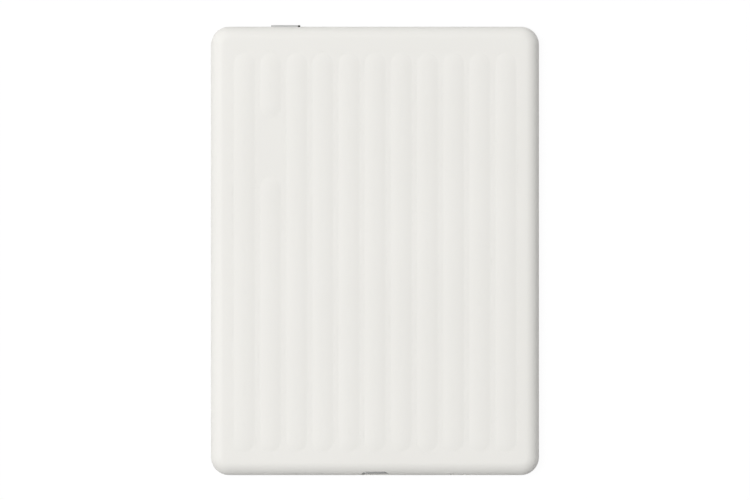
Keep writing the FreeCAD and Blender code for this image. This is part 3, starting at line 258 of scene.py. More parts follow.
def level_edges(shape, level):
    """The edges that lie at one level."""
    return [e for e in shape.edges if all(abs(v.co.z - level) < 1e-5 for v in e.verts)]


def round_over(shape, edges, size, steps):
    """Round these edges."""
    bmesh.ops.bevel(
        shape, geom=edges, affect="EDGES", offset=size, segments=steps, profile=0.5, material=-1
    )


def block(low, high, edge=0.0, steps=2):
    """A block between two corners, with its edges eased."""
    shape = bmesh.new()
    bmesh.ops.create_cube(shape, size=1.0)
    low, high = Vector(low), Vector(high)
    bmesh.ops.scale(shape, verts=shape.verts, vec=high - low)
    bmesh.ops.translate(shape, verts=shape.verts, vec=(low + high) / 2)
    if edge:
        round_over(shape, shape.edges[:], edge, steps)
    return shape


def post(x, y, radius, low, high, steps=32, axis="Z"):
    """A round post. Along Y, its levels are read along Y and y is its height."""
    shape = bmesh.new()
    bmesh.ops.create_cone(
        shape, cap_ends=True, segments=steps, radius1=radius, radius2=radius, depth=high - low
    )
    bmesh.ops.translate(shape, verts=shape.verts, vec=(0, 0, (low + high) / 2))
    if axis == "Y":
        bmesh.ops.rotate(shape, verts=shape.verts, matrix=Matrix.Rotation(math.radians(-90), 3, "X"))
        bmesh.ops.translate(shape, verts=shape.verts, vec=(x, 0, y))
    else:
        bmesh.ops.translate(shape, verts=shape.verts, vec=(x, y, 0))
    return shape


def gather(shapes):
    """Several shapes as one."""
    whole = shapes[0]
    for other in shapes[1:]:
        mesh = bpy.data.meshes.new("gathered")
        other.to_mesh(mesh)
        other.free()
        whole.from_mesh(mesh)
        bpy.data.meshes.remove(mesh)
    return whole


def carve(shape, tool, operation="DIFFERENCE"):
    """The shape with the tool taken away, or added."""
    made = []
    for source in (shape, tool):
        mesh = bpy.data.meshes.new("bench")
        source.to_mesh(mesh)
        source.free()
        made.append(bpy.data.objects.new("bench", mesh))
        scene.collection.objects.link(made[-1])
    step = made[0].modifiers.new("carve", "BOOLEAN")
    step.operation = operation
    step.solver = "EXACT"
    step.object = made[1]
    result = bmesh.new()
    result.from_mesh(made[0].evaluated_get(bpy.context.evaluated_depsgraph_get()).to_mesh())
    for thing in made:
        mesh = thing.data
        bpy.data.objects.remove(thing)
        bpy.data.meshes.remove(mesh)
    bmesh.ops.dissolve_degenerate(result, dist=1e-5, edges=result.edges)
    return result


def add_piece(shape, name, materials, nodes=None, body="casing", sharp=32):
    """Turn a shape in millimetres into a finished piece that stands for CAD nodes."""
    bmesh.ops.scale(shape, verts=shape.verts, vec=(MM, MM, MM))
    mesh = bpy.data.meshes.new(name)
    shape.to_mesh(mesh)
    shape.free()
    for material in materials if isinstance(materials, (list, tuple)) else [materials]:
        mesh.materials.append(material)
    mesh.shade_smooth()
    mesh.set_sharp_from_angle(angle=math.radians(sharp))
    piece = bpy.data.objects.new(name + "_piece", mesh)
    scene.collection.objects.link(piece)
    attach(piece, body)
    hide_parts(*(nodes or [name]))
    return piece


def box_mm(node):
    """Low and high corners of a node in millimetres."""
    low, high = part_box(node)
    return low / MM, high / MM


def refinish(material, *nodes):
    """Give carried-over CAD nodes their finish."""
    for node in nodes:
        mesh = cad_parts[node].data
        for place in range(len(mesh.materials)):
            mesh.materials[place] = material


bezel_high = box_mm("front_bezel")[1]
body_x = bezel_high.x
body_y = bezel_high.y
corner = 6.0
front_round = 0.6
flange = 1.2
lip = 0.8
skirt_wall = 0.8
side_wall = 1.2
skirt_step = side_wall + 0.1
skirt_top = 2.4
seam_round = 0.12
film_low = box_mm("touch_film")[0]
window_x, window_y = 46.0, 62.0
window_corner, window_ease, window_offset = 1.0, 0.25, 6.1
window_middle = film_low.y + window_offset + window_y

shape = slab(body_x, body_y, corner, 0.0, flange)
round_over(shape, level_edges(shape, 0.0), front_round, 6)
round_over(shape, level_edges(shape, flange), seam_round, 2)
skirt = slab(body_x - skirt_step, body_y - skirt_step, corner - skirt_step, lip, skirt_top)
shape = carve(shape, skirt, "UNION")
inner = skirt_step + skirt_wall
shape = carve(shape, slab(body_x - inner, body_y - inner, corner - inner, lip, skirt_top + 1))
opening = slab(window_x, window_y, window_corner, -1.0, flange, 8)
bmesh.ops.translate(opening, verts=opening.verts, vec=(0, window_middle, 0))
shape = carve(shape, opening)
rim = [
    e for e in level_edges(shape, 0.0)
    if all(
        abs(v.co.x) < window_x + 0.01 and abs(v.co.y - window_middle) < window_y + 0.01
        for v in e.verts
    )
]
round_over(shape, rim, window_ease, 3)

boss_inset, end_row, middle_row = 1.45, 7.0, 22
boss_radius, boss_root, pilot_radius, pilot_floor = 1.15, 0.05, 0.6, 0.4
frame_screw_x = body_x - inner - boss_inset
frame_screw_y = body_y - side_wall - end_row
screw_rows = (-frame_screw_y, -middle_row, middle_row, frame_screw_y)
screw_places = [(x, y) for x in (-frame_screw_x, frame_screw_x) for y in screw_rows]
boss_top = bezel_high.z
bosses = gather([post(x, y, boss_radius, lip - boss_root, boss_top) for x, y in screw_places])
shape = carve(shape, bosses, "UNION")
pilots = gather([post(x, y, pilot_radius, lip + pilot_floor, boss_top + 1) for x, y in screw_places])
shape = carve(shape, pilots)
hook_rows = (-54, -12, 12, 54)
catch_half, catch_low, catch_high = 3.1, 1.35, 2.0
skirt_middle = body_x - skirt_step - skirt_wall / 2
skirt_gaps = [
    block(
        (side * skirt_middle - 1, y - catch_half, catch_low),
        (side * skirt_middle + 1, y + catch_half, catch_high),
    )
    for side in (-1, 1) for y in hook_rows
]
port_low, port_high = box_mm("usb_shell")
key_low, key_high = box_mm("power_button")
skirt_gaps.append(block(
    (port_low.x, -body_y + skirt_step - 0.5, port_low.z - 0.1),
    (port_high.x, -body_y + inner + 0.5, skirt_top + 1),
))
skirt_gaps.append(block(
    (key_low.x - 1, body_y - inner - 0.5, flange),
    (key_high.x + 1, body_y - skirt_step + 0.5, skirt_top + 1),
))
shape = carve(shape, gather(skirt_gaps))
add_piece(shape, "front_bezel", shell_white)

# ---- Display ----
# The screen is a sandwich that lies in the bezel's recess on a thin foam gasket: a matt touch film,
# a clear light guide, the electronic ink film and its glass backplane, taped to the mid-frame.

black_foam = painted(
    "black_foam", (0.018, 0.018, 0.019), (0.032, 0.031, 0.030), (0.82, 0.96), grains=2600.0, depth=0.00005
)
refinish(black_foam, "display_gasket", "foam_pads")


def clear_sheet(name, tint, gloss):
    """A clear plastic or glass, with a faint haze that comes and goes."""
    material = painted(name, tint, tuple(0.985 * c for c in tint), gloss, grains=2200.0, depth=0.0000008)
    shader = material.node_tree.nodes["Principled BSDF"]
    shader.inputs["Transmission Weight"].default_value = 1.0
    shader.inputs["IOR"].default_value = 1.49
    return material


sheet_gap = 0.02
display_corner = 1.5


def sheet_piece(name, material, edge):
    """One sheet of the stack, a hair thinner than its room, with eased edges."""
    low, high = box_mm(name)
    half = (high - low) / 2
    shape = slab(half.x, half.y, display_corner, low.z + sheet_gap, high.z - sheet_gap, 8)
    round_over(shape, level_edges(shape, low.z + sheet_gap) + level_edges(shape, high.z - sheet_gap), edge, 2)
    bmesh.ops.translate(shape, verts=shape.verts, vec=(0, (low.y + high.y) / 2, 0))
    add_piece(shape, name, material)


matt_film = clear_sheet("matt_film", (0.96, 0.965, 0.96), (0.28, 0.36))
sheet_piece("touch_film", matt_film, 0.05)
guide_plastic = clear_sheet("guide_plastic", (0.97, 0.97, 0.965), (0.03, 0.06))
sheet_piece("light_guide", guide_plastic, 0.08)
ink_paper = painted(
    "ink_paper", (0.615, 0.625, 0.600), (0.575, 0.587, 0.565), (0.55, 0.70), grains=9000.0, depth=0.000003,
    patches=60.0,
)
sheet_piece("ink_film", ink_paper, 0.03)

dark_glass = painted(
    "dark_glass", (0.030, 0.036, 0.034), (0.045, 0.052, 0.048), (0.05, 0.12), grains=900.0, depth=0.0000005
)
refinish(dark_glass, "glass_backplane")
clear_tape = painted(
    "clear_tape", (0.70, 0.69, 0.64), (0.60, 0.59, 0.54), (0.35, 0.60), grains=1400.0, depth=0.00001
)
refinish(clear_tape, "display_adhesive", "frontlight_strip", "battery_tape")

# ---- Front light ----
# Twelve side-facing lamps sit on a flex strip along the guide's lower edge. Each is a small white
# moulding with a yellow window that faces the guide.

lamp_white = painted(
    "lamp_white", (0.80, 0.80, 0.78), (0.72, 0.72, 0.70), (0.35, 0.5), grains=6000.0, depth=0.000002
)
lamp_yellow = painted(
    "lamp_yellow", (0.82, 0.60, 0.10), (0.76, 0.52, 0.07), (0.3, 0.45), grains=9000.0, depth=0.000002
)
lamp_low, lamp_high = box_mm("frontlight_leds")
lamp_count, lamp_pitch, lamp_width = 12, 7.6, 3.0
lamps = []
for number in range(lamp_count):
    x = lamp_pitch * (number - (lamp_count - 1) / 2)
    lamp = block(
        (x - lamp_width / 2, lamp_low.y, lamp_low.z),
        (x + lamp_width / 2, lamp_high.y, lamp_high.z),
        0.03,
        1,
    )
    window_faces = [f for f in lamp.faces if f.normal.y > 0.9 and f.calc_area() > 0.3]
    bmesh.ops.inset_individual(lamp, faces=window_faces, thickness=0.06, depth=-0.03)
    for face in window_faces:
        face.material_index = 1
    lamps.append(lamp)
add_piece(gather(lamps), "frontlight_leds", [lamp_white, lamp_yellow])

# ---- Flexible circuits ----
# Amber film circuits with copper tracks fold from the display's lower edge round to the board.
# One more runs from the power key's switch, and the antenna is the same film with a wide radiator.


def copper_tracks():
    """A mask of parallel tracks, cut across here and there, with dots where they end."""
    group = bpy.data.node_groups.new("copper_tracks", "ShaderNodeTree")
    face = group.interface
    for name, start in (
        ("Tracks per metre", 1500.0),
        ("Runs per metre", 90.0),
        ("Track width", 0.5),
        ("Bare", 0.47),
        ("Dot size", 0.17),
    ):
        face.new_socket(name=name, in_out="INPUT", socket_type="NodeSocketFloat").default_value = start
    face.new_socket(name="Turn", in_out="INPUT", socket_type="NodeSocketVector")
    face.new_socket(name="Tracks", in_out="OUTPUT", socket_type="NodeSocketFloat")
    given = group.nodes.new("NodeGroupInput")
    given_back = group.nodes.new("NodeGroupOutput")
    where, turn, split, count, wrap, thin, run, keep, both, dots, near, most = nodes_of(
        group, "TexCoord", "VectorRotate", "SeparateXYZ", "Math", "Math", "Math", "TexNoise", "Math", "Math",
        "TexVoronoi", "Math", "Math",
    )
    turn.rotation_type = "EULER_XYZ"
    count.operation = "MULTIPLY"
    wrap.operation = "FRACT"
    thin.operation = "LESS_THAN"
    keep.operation = "GREATER_THAN"
    both.operation = "MULTIPLY"
    near.operation = "LESS_THAN"
    most.operation = "MAXIMUM"
    join(
        group,
        (where.outputs["Object"], turn.inputs["Vector"]),
        (given.outputs["Turn"], turn.inputs["Rotation"]),
        (turn.outputs["Vector"], split.inputs["Vector"]),
        (split.outputs["X"], count.inputs[0]),
        (given.outputs["Tracks per metre"], count.inputs[1]),
        (count.outputs[0], wrap.inputs[0]),
        (wrap.outputs[0], thin.inputs[0]),
        (given.outputs["Track width"], thin.inputs[1]),
        (where.outputs["Object"], run.inputs["Vector"]),
        (given.outputs["Runs per metre"], run.inputs["Scale"]),
        (run.outputs["Fac"], keep.inputs[0]),
        (given.outputs["Bare"], keep.inputs[1]),
        (thin.outputs[0], both.inputs[0]),
        (keep.outputs[0], both.inputs[1]),
        (where.outputs["Object"], dots.inputs["Vector"]),
        (given.outputs["Runs per metre"], dots.inputs["Scale"]),
        (dots.outputs["Distance"], near.inputs[0]),
        (given.outputs["Dot size"], near.inputs[1]),
        (both.outputs[0], most.inputs[0]),
        (near.outputs[0], most.inputs[1]),
        (most.outputs[0], given_back.inputs["Tracks"]),
    )
    return group


TRACKS = copper_tracks()


def circuit(
    name, film, film_dark, copper, tracks, runs, width,
    turn=0.0, bare=0.0, dot=0.0, gloss=(0.28, 0.42), coat=0.4,
):
    """A lacquered circuit: film or solder mask over copper tracks that stand a little proud."""
    material = painted(name, film, film_dark, gloss, grains=1800.0, depth=0.000002, patches=140.0)
    tree = material.node_tree
    shader = tree.nodes["Principled BSDF"]
    tone = shader.inputs["Base Color"].links[0].from_node
    lines, over, bump = nodes_of(tree, "Group", "Mix", "Bump")
    lines.node_tree = TRACKS
    lines.inputs["Tracks per metre"].default_value = tracks
    lines.inputs["Runs per metre"].default_value = runs
    lines.inputs["Track width"].default_value = width
    lines.inputs["Bare"].default_value = bare
    lines.inputs["Dot size"].default_value = dot
    lines.inputs["Turn"].default_value = (0, 0, math.radians(turn))
    over.data_type = "RGBA"
    over.inputs[7].default_value = (*copper, 1)
    bump.inputs["Distance"].default_value = 0.00003
    join(
        tree,
        (lines.outputs["Tracks"], over.inputs[0]),
        (tone.outputs[2], over.inputs[6]),
        (over.outputs[2], shader.inputs["Base Color"]),
        (lines.outputs["Tracks"], bump.inputs["Height"]),
        (bump.outputs["Normal"], shader.inputs["Normal"]),
    )
    shader.inputs["Coat Weight"].default_value = coat
    return material


amber_film = circuit(
    "amber_film", (0.60, 0.30, 0.05), (0.52, 0.25, 0.04), (0.78, 0.42, 0.12), 2000.0, 60.0, 0.5
)
refinish(amber_film, "display_flex", "frontlight_flex", "touch_flex", "key_flex")
antenna_film = circuit(
    "antenna_film", (0.045, 0.045, 0.045), (0.06, 0.06, 0.058), (0.62, 0.40, 0.16), 260.0, 70.0, 0.7, turn=90
)
refinish(antenna_film, "wifi_antenna")

# ---- Mid-frame and its screws ----
# A thin glass-filled tray that stiffens the reader: the display is taped below it and the battery
# and board lie above it. Eight flat screws hold it to the bezel's bosses.

glass_filled = painted(
    "glass_filled", (0.085, 0.087, 0.09), (0.12, 0.122, 0.125), (0.45, 0.62), grains=1600.0, depth=0.00002,
    patches=220.0,
)
refinish(glass_filled, "mid_frame")


def metal(name, light, dark, gloss, grains=2400.0, depth=0.000003, patches=180.0):
    """A bare metal with fine rolling marks."""
    material = painted(name, light, dark, gloss, grains=grains, depth=depth, patches=patches)
    material.node_tree.nodes["Principled BSDF"].inputs["Metallic"].default_value = 1.0
    return material


screw_steel = metal("screw_steel", (0.38, 0.375, 0.36), (0.28, 0.276, 0.265), (0.28, 0.42))


def screw(head_radius, head_height, seat, tip, thread_radius=0.55, thread_pitch=0.25):
    """A flat-headed machine screw with a cross slot and a rolled thread."""
    top = seat + head_height
    ease = head_height / 4
    core = thread_radius * 0.82
    outline = [
        (0, top), (head_radius - ease, top), (head_radius, top - ease), (head_radius, seat), (core, seat)
    ]
    turns = int((seat - tip) / thread_pitch)
    for turn in range(turns):
        outline.append((thread_radius, seat - (turn + 0.5) * thread_pitch))
        outline.append((core, seat - (turn + 1) * thread_pitch))
    outline.append((core * 0.7, tip))
    outline.append((0, tip))
    shape = bmesh.new()
    line = [shape.verts.new((x, 0, z)) for x, z in outline]
    edges = [shape.edges.new(pair) for pair in zip(line, line[1:])]
    bmesh.ops.spin(
        shape, geom=line + edges, cent=(0, 0, 0), axis=(0, 0, 1), angle=math.tau, steps=20, use_merge=True
    )
    bmesh.ops.remove_doubles(shape, verts=shape.verts, dist=1e-4)
    bmesh.ops.recalc_face_normals(shape, faces=shape.faces)
    reach, slim, deep = head_radius - 0.35, 0.17, 0.15
    cross = block((-reach, -slim, top - deep), (reach, slim, top + deep))
    other = block((-slim, -reach, top - deep * 0.97), (slim, reach, top + deep * 1.03))
    return carve(carve(shape, cross), other)


def copies(shape, places):
    """One copy of the shape at each place."""
    row = []
    for x, y in places:
        row.append(shape.copy())
        bmesh.ops.translate(row[-1], verts=row[-1].verts, vec=(x, y, 0))
    shape.free()
    return gather(row)


screw_low, screw_high = box_mm("frame_screws")
frame_head = 0.3
shape = screw(1.0, frame_head, screw_high.z - frame_head, screw_low.z)
add_piece(copies(shape, screw_places), "frame_screws", screw_steel)

# ---- Battery ----
# A flat lithium pouch is taped to the mid-frame, with foam pads between it and the cover.
# Its protection board is folded at the lower end, and two wires run from there to the main board.

pouch_foil = metal(
    "pouch_foil", (0.38, 0.38, 0.375), (0.32, 0.32, 0.315), (0.36, 0.5),
    grains=1100.0, depth=0.000012, patches=90.0,
)
cell_low, cell_high = box_mm("battery_cell")
cell_half = (cell_high - cell_low) / 2
shape = slab(cell_half.x, cell_half.y, 1.0, cell_low.z, cell_high.z, 8)
round_over(shape, level_edges(shape, cell_high.z), 0.7, 5)
round_over(shape, level_edges(shape, cell_low.z), 0.25, 3)
stamp_margin, stamp_width, stamp_depth = 1.8, 0.5, 0.1
ring = slab(
    cell_half.x - stamp_margin, cell_half.y - stamp_margin, 1.2, cell_high.z - stamp_depth, cell_high.z + 1, 8
)
inner = stamp_margin + stamp_width
ring = carve(ring, slab(cell_half.x - inner, cell_half.y - inner, 0.9, cell_low.z, cell_high.z + 2, 8))
shape = carve(shape, ring)
bmesh.ops.translate(shape, verts=shape.verts, vec=(0, (cell_low.y + cell_high.y) / 2, 0))
add_piece(shape, "battery_cell", pouch_foil)
amber_wrap = painted(
    "amber_wrap", (0.52, 0.27, 0.04), (0.43, 0.21, 0.03), (0.2, 0.38),
    grains=700.0, depth=0.00002, patches=160.0, Coat_Weight=0.5,
)
wrap_low, wrap_high = box_mm("battery_board")
add_piece(block(wrap_low, wrap_high, 0.25, 3), "battery_board", amber_wrap)

wire_red = painted(
    "wire_red", (0.50, 0.02, 0.015), (0.42, 0.016, 0.012), (0.32, 0.45), grains=3000.0, depth=0.000003
)
wire_black = painted(
    "wire_black", (0.02, 0.02, 0.02), (0.03, 0.03, 0.03), (0.32, 0.45), grains=3000.0, depth=0.000003
)
lead_low, lead_high = box_mm("battery_lead")
lead_radius = (lead_high.z - lead_low.z) / 2
wires = []
for number, x in enumerate((lead_low.x + lead_radius, lead_high.x - lead_radius)):
    wire = post(x, (lead_low.z + lead_high.z) / 2, lead_radius, lead_low.y, lead_high.y, 20, axis="Y")
    for face in wire.faces:
        face.material_index = number
    wires.append(wire)
add_piece(gather(wires), "battery_lead", [wire_red, wire_black])

# ---- Films and antenna contact ----
# A clear insulating film lies under the board, and a bent spring leaf joins the antenna to it.
# The same bright sheet steel, stamped flat, stiffens the flex behind the power key's switch.

clear_film = painted(
    "clear_film", (0.62, 0.60, 0.52), (0.54, 0.52, 0.45), (0.18, 0.3), grains=600.0, depth=0.00001
)
refinish(clear_film, "insulating_film")
bright_steel = metal("bright_steel", (0.44, 0.44, 0.43), (0.36, 0.36, 0.35), (0.24, 0.38))
refinish(bright_steel, "antenna_spring", "key_stiffener")

# ---- Main board ----
# A four-layer board with a dark green solder mask fills the lower end, notched for the port and
# for the three folded circuits. Six screws hold it to posts on the mid-frame.

solder_mask = circuit(
    "solder_mask", (0.012, 0.075, 0.045), (0.016, 0.095, 0.055), (0.028, 0.13, 0.072), 1500.0, 260.0, 0.4,
    turn=45, bare=0.5, dot=0.12, gloss=(0.25, 0.4),
)
refinish(solder_mask, "main_board")
board_low, board_high = box_mm("main_board")
board_screw_low, board_screw_high = box_mm("board_screws")
board_head_radius, board_head = 1.2, 0.6
port_screw_x, port_screw_up = 8.0, 10.5
board_screw_x = board_screw_high.x - board_head_radius
lower_row = board_screw_low.y + board_head_radius
upper_row = board_screw_high.y - board_head_radius
port_row = board_low.y + port_screw_up
board_screw_places = [(side * board_screw_x, y) for side in (-1, 1) for y in (lower_row, upper_row)]
board_screw_places += [(-port_screw_x, port_row), (port_screw_x, port_row)]
shape = screw(board_head_radius, board_head, board_screw_high.z - board_head, board_screw_low.z)
add_piece(copies(shape, board_screw_places), "board_screws", screw_steel)

# ---- Chips ----
# Black moulded packages with a moulder's dimple over pin one. The processor carries a soft heat
# pad up to the lid of a drawn steel can, and a graphite sheet spreads the heat over the lid.

chip_black = painted(
    "chip_black", (0.022, 0.022, 0.023), (0.034, 0.034, 0.035), (0.38, 0.52), grains=7000.0, depth=0.000003
)
board_face = board_high.z
dimple_inset, dimple_radius, dimple_depth = 0.7, 0.28, 0.04


def package(x, y, wide, long, low, high, edge=0.08):
    """A moulded chip with its pin-one dimple."""
    shape = block((x - wide / 2, y - long / 2, low), (x + wide / 2, y + long / 2, high), edge, 2)
    dimple_x, dimple_y = x - wide / 2 + dimple_inset, y + long / 2 - dimple_inset
    dimple = post(dimple_x, dimple_y, dimple_radius, high - dimple_depth, high + 0.1, 16)
    return carve(shape, dimple)


low, high = box_mm("processor")
middle = (low + high) / 2
shape = package(middle.x, middle.y, high.x - low.x, high.y - low.y, low.z, high.z)
add_piece(shape, "processor", chip_black)
low, high = box_mm("memory_chips")
memory_long = 8.0
shape = gather([
    package((low.x + high.x) / 2, y, high.x - low.x, memory_long, low.z, high.z)
    for y in (low.y + memory_long / 2, high.y - memory_long / 2)
])
add_piece(shape, "memory_chips", chip_black)
power_places = ((24.0, 28.0, 5.0), (24.0, 20.0, 4.0), (-32.0, 26.0, 5.0))
low, high = box_mm("power_chips")
shape = gather([package(x, board_low.y + y, side, side, low.z, high.z, 0.05) for x, y, side in power_places])
add_piece(shape, "power_chips", chip_black)

heat_rubber = painted(
    "heat_rubber", (0.36, 0.42, 0.50), (0.30, 0.36, 0.44), (0.7, 0.85), grains=1500.0, depth=0.00002
)
refinish(heat_rubber, "thermal_pad", "microphone_boot")
graphite = metal(
    "graphite", (0.075, 0.075, 0.078), (0.05, 0.05, 0.052), (0.4, 0.55), grains=1300.0, depth=0.00001
)
refinish(graphite, "graphite_sheet")

can_steel = metal(
    "can_steel", (0.44, 0.435, 0.42), (0.37, 0.366, 0.355), (0.3, 0.44),
    grains=1700.0, depth=0.000004, patches=70.0,
)
low, high = box_mm("shield_can")
can_wall, can_corner, can_edge, vent_radius = 0.15, 0.6, 0.3, 0.4
vent_columns, vent_rows = (-15.8, 15.8), (-9, -4.5, 0, 4.5, 9)
half = (high - low) / 2
shape = slab(half.x, half.y, can_corner, low.z, high.z, 8)
round_over(shape, level_edges(shape, high.z), can_edge, 4)
hollow = slab(half.x - can_wall, half.y - can_wall, can_corner - can_wall, low.z - 1, high.z - can_wall, 8)
shape = carve(shape, hollow)
vents = gather([
    post(x, y, vent_radius, high.z - 1, high.z + 1, 12) for x in vent_columns for y in vent_rows
])
shape = carve(shape, vents)
bmesh.ops.translate(shape, verts=shape.verts, vec=((low.x + high.x) / 2, (low.y + high.y) / 2, 0))
add_piece(shape, "shield_can", can_steel)

low, high = box_mm("wifi_module")
base_height, can_inset = 0.3, 0.35
base = block(low, (high.x, high.y, low.z + base_height))
lid = block(
    (low.x + can_inset, low.y + can_inset, low.z + base_height),
    (high.x - can_inset, high.y - can_inset, high.z),
    0.15,
    3,
)
for face in base.faces:
    face.material_index = 1
add_piece(gather([lid, base]), "wifi_module", [can_steel, solder_mask])

# ---- Coils and capacitors ----
# Ferrite power coils stand beside the power chips, with rows of ceramic capacitors.
# Every one has a tinned cap at each end.

ferrite = painted(
    "ferrite", (0.055, 0.053, 0.052), (0.085, 0.082, 0.08), (0.5, 0.7), grains=2600.0, depth=0.00001
)
ceramic = painted(
    "ceramic", (0.40, 0.27, 0.15), (0.34, 0.225, 0.12), (0.35, 0.5), grains=9000.0, depth=0.000002
)
tinned = metal("tinned", (0.50, 0.495, 0.475), (0.42, 0.415, 0.40), (0.28, 0.42))


def end_capped(x, y, wide, long, low, high, cap, edge):
    """A small part whose two ends along X are tinned."""
    shape = block((x - wide / 2, y - long / 2, low), (x + wide / 2, y + long / 2, high), edge, 1)
    for place in (x - wide / 2 + cap, x + wide / 2 - cap):
        bmesh.ops.bisect_plane(
            shape,
            geom=shape.verts[:] + shape.edges[:] + shape.faces[:],
            plane_co=(place, 0, 0),
            plane_no=(1, 0, 0),
        )
    for face in shape.faces:
        if abs(face.calc_center_median().x - x) > wide / 2 - cap:
            face.material_index = 1
    return shape


coil_places = ((30.5, 28.0, 3.0), (29.5, 20.0, 3.0), (-26.5, 26.0, 2.5), (-38.0, 26.0, 3.0))
low, high = box_mm("inductors")
shape = gather([
    end_capped(x, board_low.y + y, side, side, low.z, high.z, 0.4, 0.15) for x, y, side in coil_places
])
add_piece(shape, "inductors", [ferrite, tinned])
low, high = box_mm("capacitors")
cap_clear, cap_spacing, cap_row = 1.9, 1.6, 7
cap_wide, cap_long, cap_end = 1.0, 0.5, 0.25
row_sides = (1, -1, 1)
shape = gather([
    end_capped(
        x + cap_spacing * (number - (cap_row - 1) / 2),
        board_low.y + y + row_side * (side / 2 + cap_clear),
        cap_wide, cap_long, low.z, high.z, cap_end, 0.04,
    )
    for (x, y, side), row_side in zip(power_places, row_sides)
    for number in range(cap_row)
])
add_piece(shape, "capacitors", [ceramic, tinned])

# ---- Sockets on the board ----
# Low sockets take the folded circuits. Each is a dark nylon housing with a row of gilt contacts
# in its open side and a rocking latch over them. The battery's plug lies beside them.

nylon = painted(
    "nylon", (0.60, 0.57, 0.48), (0.53, 0.50, 0.42), (0.38, 0.52), grains=3500.0, depth=0.000004
)
latch_black = painted(
    "latch_black", (0.03, 0.03, 0.03), (0.045, 0.045, 0.045), (0.35, 0.5), grains=3500.0, depth=0.000004
)
gilt = metal("gilt", (0.83, 0.60, 0.23), (0.72, 0.50, 0.17), (0.2, 0.34))
socket_low, socket_high = box_mm("flex_connectors")
socket_long, contact_pitch_flex, contact_slim = 4.5, 0.8, 0.28
housing_start, latch_end = socket_long * 0.45, socket_long * 0.43
latch_start, latch_inset = 0.4, 0.3
contact_start, contact_steps, bare_ends = 0.3, 1.4, 1.4


def socket(x, half, face, way):
    """A socket whose open side is at face and whose body lies along way in Y."""
    level, top = socket_low.z, socket_high.z
    step = (top - level) / 3

    def bar(near, far, bottom, up, edge, material, left=-half, right=half):
        ends = sorted((face + way * near, face + way * far))
        piece = block((x + left, ends[0], bottom), (x + right, ends[1], up), edge, 2)
        for side in piece.faces:
            side.material_index = material
        return piece

    parts = [
        bar(0, socket_long, level, level + step, 0.05, 0),
        bar(housing_start, socket_long, level + step, top, 0.1, 0),
        bar(latch_start, latch_end, level + 2 * step, top, 0.1, 1,
            left=-half + latch_inset, right=half - latch_inset),
    ]
    count = int((2 * half - bare_ends) / contact_pitch_flex)
    for number in range(count):
        middle = (number - (count - 1) / 2) * contact_pitch_flex
        parts.append(
            bar(contact_start, housing_start, level + step, level + contact_steps * step, 0.03, 2,
                left=middle - contact_slim / 2, right=middle + contact_slim / 2)
        )
    return parts


# the middle and half length of each socket along X
display_socket, light_socket, touch_socket, key_socket = (-26.0, 13.0), (13.0, 4.0), (39.0, 5.0), (-38.0, 3.0)
sockets = []
for x, half in (display_socket, light_socket, touch_socket):
    sockets += socket(x, half, socket_low.y, 1)
sockets += socket(*key_socket, socket_high.y, -1)
add_piece(gather(sockets), "flex_connectors", [nylon, latch_black, gilt])

low, high = box_mm("battery_connector")
rail, plug_side, plug_front, plug_back = 0.25, 0.8, 0.4, 0.9

# the two wires enter the plug side by side
entry_apart, entry_half, entry_long = 1.5, 0.5, 0.8
parts = [block(low, (high.x, high.y, high.z - rail), 0.08)]
parts.append(block(
    (low.x + plug_side, low.y + plug_front, high.z - 2 * rail),
    (high.x - plug_side, high.y - plug_back, high.z),
    0.08,
))
for side in (-1, 1):
    entry_x = (low.x + high.x) / 2 + side * entry_apart
    parts.append(block(
        (entry_x - entry_half, high.y - entry_long, high.z - 1.5 * rail),
        (entry_x + entry_half, high.y, high.z - rail / 2),
        0.06,
    ))
add_piece(gather(parts), "battery_connector", nylon)

# ---- Charging port ----
# A drawn steel shell with a rolled mouth sits in the board's notch on four solder ears.
# Inside, a black tongue carries two rows of twelve gilt contacts.


def turned(shape, x, level):
    """Lay a shape that was built along Z along Y, at a place across and a level."""
    bmesh.ops.rotate(shape, verts=shape.verts, matrix=Matrix.Rotation(math.radians(-90), 3, "X"))
    bmesh.ops.translate(shape, verts=shape.verts, vec=(x, 0, level))
    return shape


# a sliver of straight side keeps the section sound where its two round ends would meet
end_share = 0.985


def stadium(half_width, half_height, level, start, end, steps=16, mouth=0.0):
    """A bar of slot-shaped section that runs along Y, with its first end rounded if asked."""
    shape = slab(half_width, half_height, half_height * end_share, start, end, steps)
    if mouth:
        round_over(shape, level_edges(shape, start), mouth, 3)
    return turned(shape, 0, level)


# darker than the other steels: partly the shell's own dull nickel finish, partly painted shade for the inside
# of the port's mouth
port_steel_with_shade = metal("port_steel_with_shade", (0.24, 0.24, 0.238), (0.19, 0.19, 0.188), (0.34, 0.48), depth=0.000002)
port_half, port_thick = 8.94 / 2, 3.16 / 2
port_level = (port_low.z + port_high.z) / 2
port_wall, port_back, port_mouth, ear_thickness = 0.3, 0.2, 0.12, 0.15
shape = stadium(port_half, port_thick, port_level, port_low.y, port_high.y, mouth=port_mouth)
bore = stadium(
    port_half - port_wall, port_thick - port_wall, port_level, port_low.y - 1, port_high.y - port_back
)
shape = carve(shape, bore)
ear_half, ear_places = 0.3, (2.5, 6.1)
ears = gather([
    block(
        (left, port_low.y + place - ear_half, board_face),
        (left + port_high.x - port_half + 0.1, port_low.y + place + ear_half, board_face + ear_thickness),
        0.04,
    )
    for left in (port_low.x, port_half - 0.1) for place in ear_places
])
shape = carve(shape, ears, "UNION")
add_piece(shape, "usb_shell", port_steel_with_shade)

